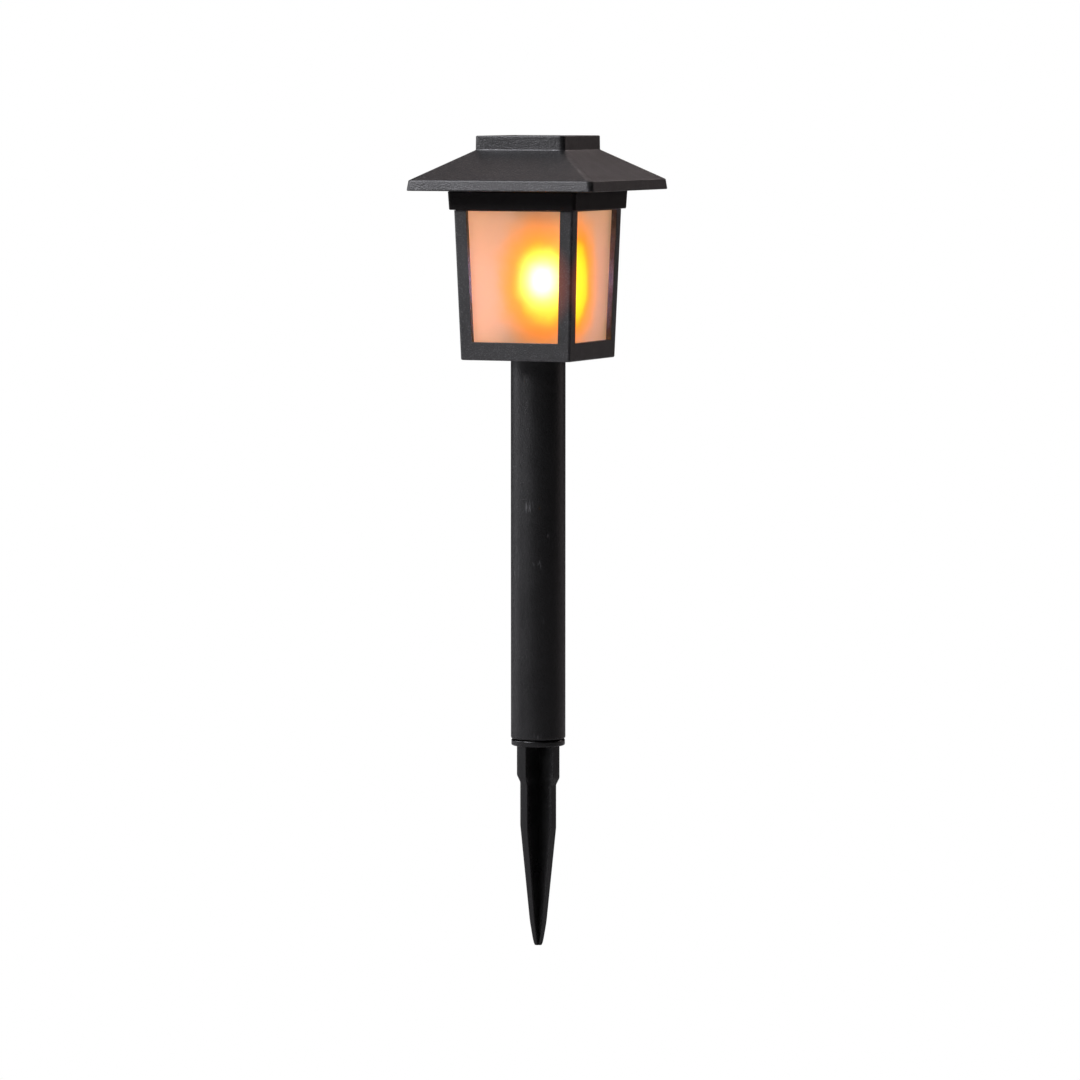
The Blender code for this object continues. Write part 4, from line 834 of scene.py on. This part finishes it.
def silicon():
    material, tree, shader, place = new_material("silicon", 0.24, IOR=3.2, Coat_Weight=0.6)
    flakes = add(tree, "TexVoronoi", {"Vector": place, "Scale": 260.0}).outputs["Color"]
    tone = add(tree, "SeparateColor", {0: flakes}).outputs[0]
    body = mix_colour(tree, tone, (0.006, 0.009, 0.032), (0.012, 0.022, 0.075))
    strip = add(tree, "Attribute", attribute_name="edge").outputs["Fac"]
    on_strip = remap(tree, strip, 0.4, 0.6)
    feed(tree, shader, Base_Color=mix_colour(tree, on_strip, body, (0.62, 0.63, 0.64)), Metallic=on_strip,
         Roughness=remap(tree, calc(tree, "ADD", tone, on_strip), 0.0, 2.0, 0.2, 0.42))
    return material


def strip(half_x, half_y, at):
    points, faces, _ = block(half_x, half_y, CELL_HIGH - 0.05, CELL_HIGH + 0.03, at)
    return points, faces, 1.0


wafer = block(CELL_HALF, CELL_HALF, CELL_LOW, CELL_HIGH)
fingers = [strip(CELL_HALF - 0.5, 0.05, (0.0, y)) for y in np.linspace(-CELL_HALF + 0.9, CELL_HALF - 0.9, 17)]
collectors = [strip(0.55, CELL_HALF - 0.4, (x, 0.0)) for x in (-5.2, 5.2)]
cell = make_piece("cell", [(wafer[0], wafer[1], 0.0), *fingers, *collectors])
install(cell, "light_module", "silicon", silicon(), "solar_cell")


def clear_resin():
    material, tree, shader, place = new_material("clear resin", IOR=1.5, Transmission_Weight=1.0)
    held = use_group(tree, handling, {"Place": place})
    dusty = remap(tree, held["Smudge"], 0, 1, 0.04, 0.12)
    haze = calc(tree, "ADD", calc(tree, "MULTIPLY", held["Marks"], 0.35), dusty)
    ripple = noise(tree, place, 220.0, 1.0)
    feed(tree, shader, Base_Color=mix_colour(tree, held["Smudge"], (0.95, 0.97, 1.0), (0.9, 0.92, 0.93)),
         Roughness=haze, Normal=bump(tree, ripple, 0.03 * MM))
    return material


cover = make_piece("cell_window", [square_shell(
    [(0, COVER_LOW), (COVER_HALF, COVER_LOW), (COVER_HALF, COVER_HIGH - 0.12), (COVER_HALF - 1.2, COVER_HIGH),
     (0, COVER_HIGH)], [0, 0.05, 0.2, 0.8, 0], ([0, 5, 12], [0, 0.4, 0.8]))])
install(cover, "light_module", "clear_resin", clear_resin(), "cell_cover")

# %% [markdown]
# ## Screws and switch
# Four small screws hold the box to the roof, and show when the module is lifted out. A thread is a radius that
# depends on two things: the height, and the angle, which together say how far up the screw's ramp a point is. The
# cross in the head and the grip lines on the switch's knob are cut in.
# %% Screws and knob
SCREW_STEEL = metal("screw steel", (0.55, 0.55, 0.56), 0.25, 1800.0, (1.0, 1.0, 1.0))


def screw(name, node):
    """A head and a thread, whose radius depends on how far up the ramp a point is."""
    low, high = (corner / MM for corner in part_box(node))
    at = ((low.x + high.x) / 2, (low.y + high.y) / 2)
    head = low.z + 1.2
    body = round_shell([(0, low.z), (1.8, low.z), (1.8, head), (0, head)], [0, 0.5, 0.1, 0], at, 32)
    levels = np.linspace(head - 0.2, high.z, 60)
    rings = round_rings(np.ones(60), levels, 20, at)
    ramp = (levels[:, None] / 0.7 - np.arange(20) / 20) % 1.0
    radius = (1.0 - 0.22 * np.abs(2 * ramp - 1)) * np.minimum(1, (high.z + 0.3 - levels) / 1.5)[:, None]
    rings[..., :2] = (rings[..., :2] - at) * radius[..., None] + at
    piece = make_piece(name, [body, shell(rings)])
    cut(piece, block(1.05, 0.24, low.z - 1, low.z + 0.6, at), block(0.24, 1.05, low.z - 1, low.z + 0.6, at))
    install(piece, "light_module", "screw_steel", SCREW_STEEL, node)


for i in range(4):
    screw(f"screw_{i + 1}", f"base_screw_{i + 1}")
low, high = (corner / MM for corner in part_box("switch_knob"))
knob_at = ((low.x + high.x) / 2, (low.y + high.y) / 2)
knob = make_piece("slider_knob", [block((high.x - low.x) / 2, (high.y - low.y) / 2, low.z, high.z, knob_at, 0.15)])
cut(knob, *[block(0.09, 2.0, low.z - 1, low.z + 0.2, (knob_at[0] + x, knob_at[1])) for x in (-0.4, 0.0, 0.4)])
install(knob, "switch_slider", "knob_plastic", soft_plastic("knob plastic", (0.6, 0.6, 0.57), 0.35, 0.3, 0.02), "switch_knob")

# %% [markdown]
# ## Inside the box
# The battery, its contacts, the circuit board and the wires never show, and their solids already have the right
# shape, so they keep it. They still get finishes of their own: someone may open the box.
# %% Finishes inside


def dress(material, *nodes):
    for name in nodes:
        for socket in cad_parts[name].material_slots:
            socket.material = material


def solder_mask():
    """Green lacquer with lighter copper tracks under it: a stepped noise, stretched along x."""
    material, tree, shader, place = new_material("circuit laminate", 0.3, IOR=1.5, Coat_Weight=0.4)
    tracks = calc(tree, "GREATER_THAN", calc(tree, "FRACT", calc(tree, "MULTIPLY", noise(
        tree, stretch(tree, place, (0.2, 1.0, 1.0)), 500.0, 0.0), 7.0)), 0.62)
    weave = noise(tree, place, 2600.0, 1.0)
    green = mix_colour(tree, tracks, (0.012, 0.09, 0.035), (0.03, 0.19, 0.07))
    feed(tree, shader, Base_Color=green, Normal=bump(tree, calc(tree, "ADD", tracks, weave), 0.02 * MM))
    return material


def foam():
    material, tree, shader, place = new_material("foam", 0.95)
    cells = add(tree, "TexVoronoi", {"Vector": place, "Scale": 2600.0}).outputs["Distance"]
    # the pits at the cells' middles are painted darker: painted shade in the foam's hollows
    feed(tree, shader, Base_Color=mix_colour(tree, cells, (0.05, 0.05, 0.052), (0.13, 0.13, 0.13)),
         Normal=bump(tree, cells, 0.15 * MM))
    return material


STEEL = metal("contact steel", (0.62, 0.61, 0.58), 0.25, 2200.0)
dress(solder_mask(), "circuit_board", "cell_board")
dress(foam(), "cell_foam")
dress(STEEL, "battery_contact_plus", "battery_contact_minus", "battery_spring")
dress(metal("switch steel", (0.55, 0.55, 0.54), 0.3, 1600.0), "switch_case")
dress(soft_plastic("battery sleeve", (0.03, 0.24, 0.09), 0.3, 0.4, 0.01), "battery")
dress(soft_plastic("chip resin", (0.015, 0.015, 0.016), 0.5, 0.12, 0.02), "driver_chip")
dress(soft_plastic("coil lacquer", (0.05, 0.28, 0.19), 0.25, 0.5, 0.01), "driver_coil")
dress(soft_plastic("red insulation", (0.5, 0.015, 0.012), 0.35, 0.2, 0.01), "panel_wire_red", "battery_wire_red")
dress(soft_plastic("black insulation", (0.02, 0.02, 0.02), 0.35, 0.2, 0.01), "panel_wire_black", "battery_wire_black")
print("finishes inside the box are set")

# %% [markdown]
# ## The studio
# The background is plain and white, and the light comes mostly from soft boxes high and low on the left, with weak
# ones behind on the right. Black plastic shows what it mirrors more than its own colour, so the room is dim for
# every ray but the ones that come straight from the camera, and a side that mirrors no soft box stays dark.
# %% Lights, floor and background
scene = bpy.context.scene
scene.view_settings.view_transform = "Standard"


COOL, WARM = (0.98, 0.97, 1.03), (1.0, 0.86, 0.86)


def soft_box(name, turn, rise, watts, colour=COOL, size=550.0, away=1400.0):
    """A square light, turned from the camera and raised from the lantern by two angles in degrees."""
    light = bpy.data.objects.new(name, bpy.data.lights.new(name, "AREA"))
    light.data.size, light.data.energy, light.data.color = size * MM, watts, colour
    rise = math.radians(rise)
    light.location = around(CAMERA_TURN + turn, 100.0 + away * math.sin(rise), away * math.cos(rise))
    light.rotation_euler = (Vector((0, 0, 0.1)) - light.location).to_track_quat("-Z", "Y").to_euler()
    light.visible_camera = False
    scene.collection.objects.link(light)
    return light


soft_box("key high", -60, 52, 9.6)
soft_box("key low", -56, 26, 9.0, size=300.0)
soft_box("left high", -90, 52, 2.9)
soft_box("left", -100, 22, 3.8)
soft_box("left low", -108, 8, 2.2)
soft_box("back right", 140, 38, 2.8, WARM)
soft_box("back", 180, 52, 1.5, WARM)
soft_box("right low", 116, 10, 0.9, WARM)

world = bpy.data.worlds.new("studio")
scene.world = world
world.use_nodes = True
tree = world.node_tree
room = tree.nodes["Background"]
room.inputs["Color"].default_value = (0.004, 0.004, 0.004, 1)
paper = add(tree, "Background", {"Color": (1, 1, 1, 1), "Strength": 1.0})
seen = add(tree, "LightPath").outputs["Is Camera Ray"]
both = add(tree, "MixShader", {0: seen, 1: room.outputs[0], 2: paper.outputs[0]})
tree.links.new(both.outputs[0], tree.nodes["World Output"].inputs["Surface"])


def pale_floor():
    """White to the camera from above, a pale grey to every other ray, and clear from below."""
    material = bpy.data.materials.new("pale floor")
    material.use_nodes = True
    tree = material.node_tree
    shader = tree.nodes["Principled BSDF"]
    shader.inputs["Base Color"].default_value = (0.5, 0.5, 0.5, 1)
    shader.inputs["Roughness"].default_value = 0.9
    white = add(tree, "Emission", {"Color": (1, 1, 1, 1), "Strength": 1.0})
    top = add(tree, "MixShader", {0: add(tree, "LightPath").outputs["Is Camera Ray"], 1: shader.outputs[0],
                                  2: white.outputs[0]})
    below = add(tree, "MixShader", {0: add(tree, "NewGeometry").outputs["Backfacing"], 1: top.outputs[0],
                                    2: add(tree, "BsdfTransparent").outputs[0]})
    tree.links.new(below.outputs[0], tree.nodes["Material Output"].inputs["Surface"])
    return material


FLOOR_HALF = 1500.0
x, y = np.meshgrid(np.linspace(-FLOOR_HALF, FLOOR_HALF, 5), np.linspace(-FLOOR_HALF, FLOOR_HALF, 5))
sheet = np.stack([x, y, np.full_like(x, STAKE_TIP)], axis=2).reshape(-1, 3) * MM
number = np.arange(25).reshape(5, 5)
quads = np.stack([number[:-1, :-1], number[:-1, 1:], number[1:, 1:], number[1:, :-1]], axis=2).reshape(-1, 4)
floor_mesh = bpy.data.meshes.new("floor")
floor_mesh.from_pydata(sheet.tolist(), [], quads.tolist())
floor_mesh.materials.append(pale_floor())
floor = bpy.data.objects.new("floor", floor_mesh)
scene.collection.objects.link(floor)
floor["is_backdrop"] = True

# %% [markdown]
# ## The size of the skins
# The skins have to fill the same box as the solids; their bounds are printed below.
# %% Finish
low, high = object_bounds()
print("skins ", [round(c / MM, 2) for c in (*low, *high)])
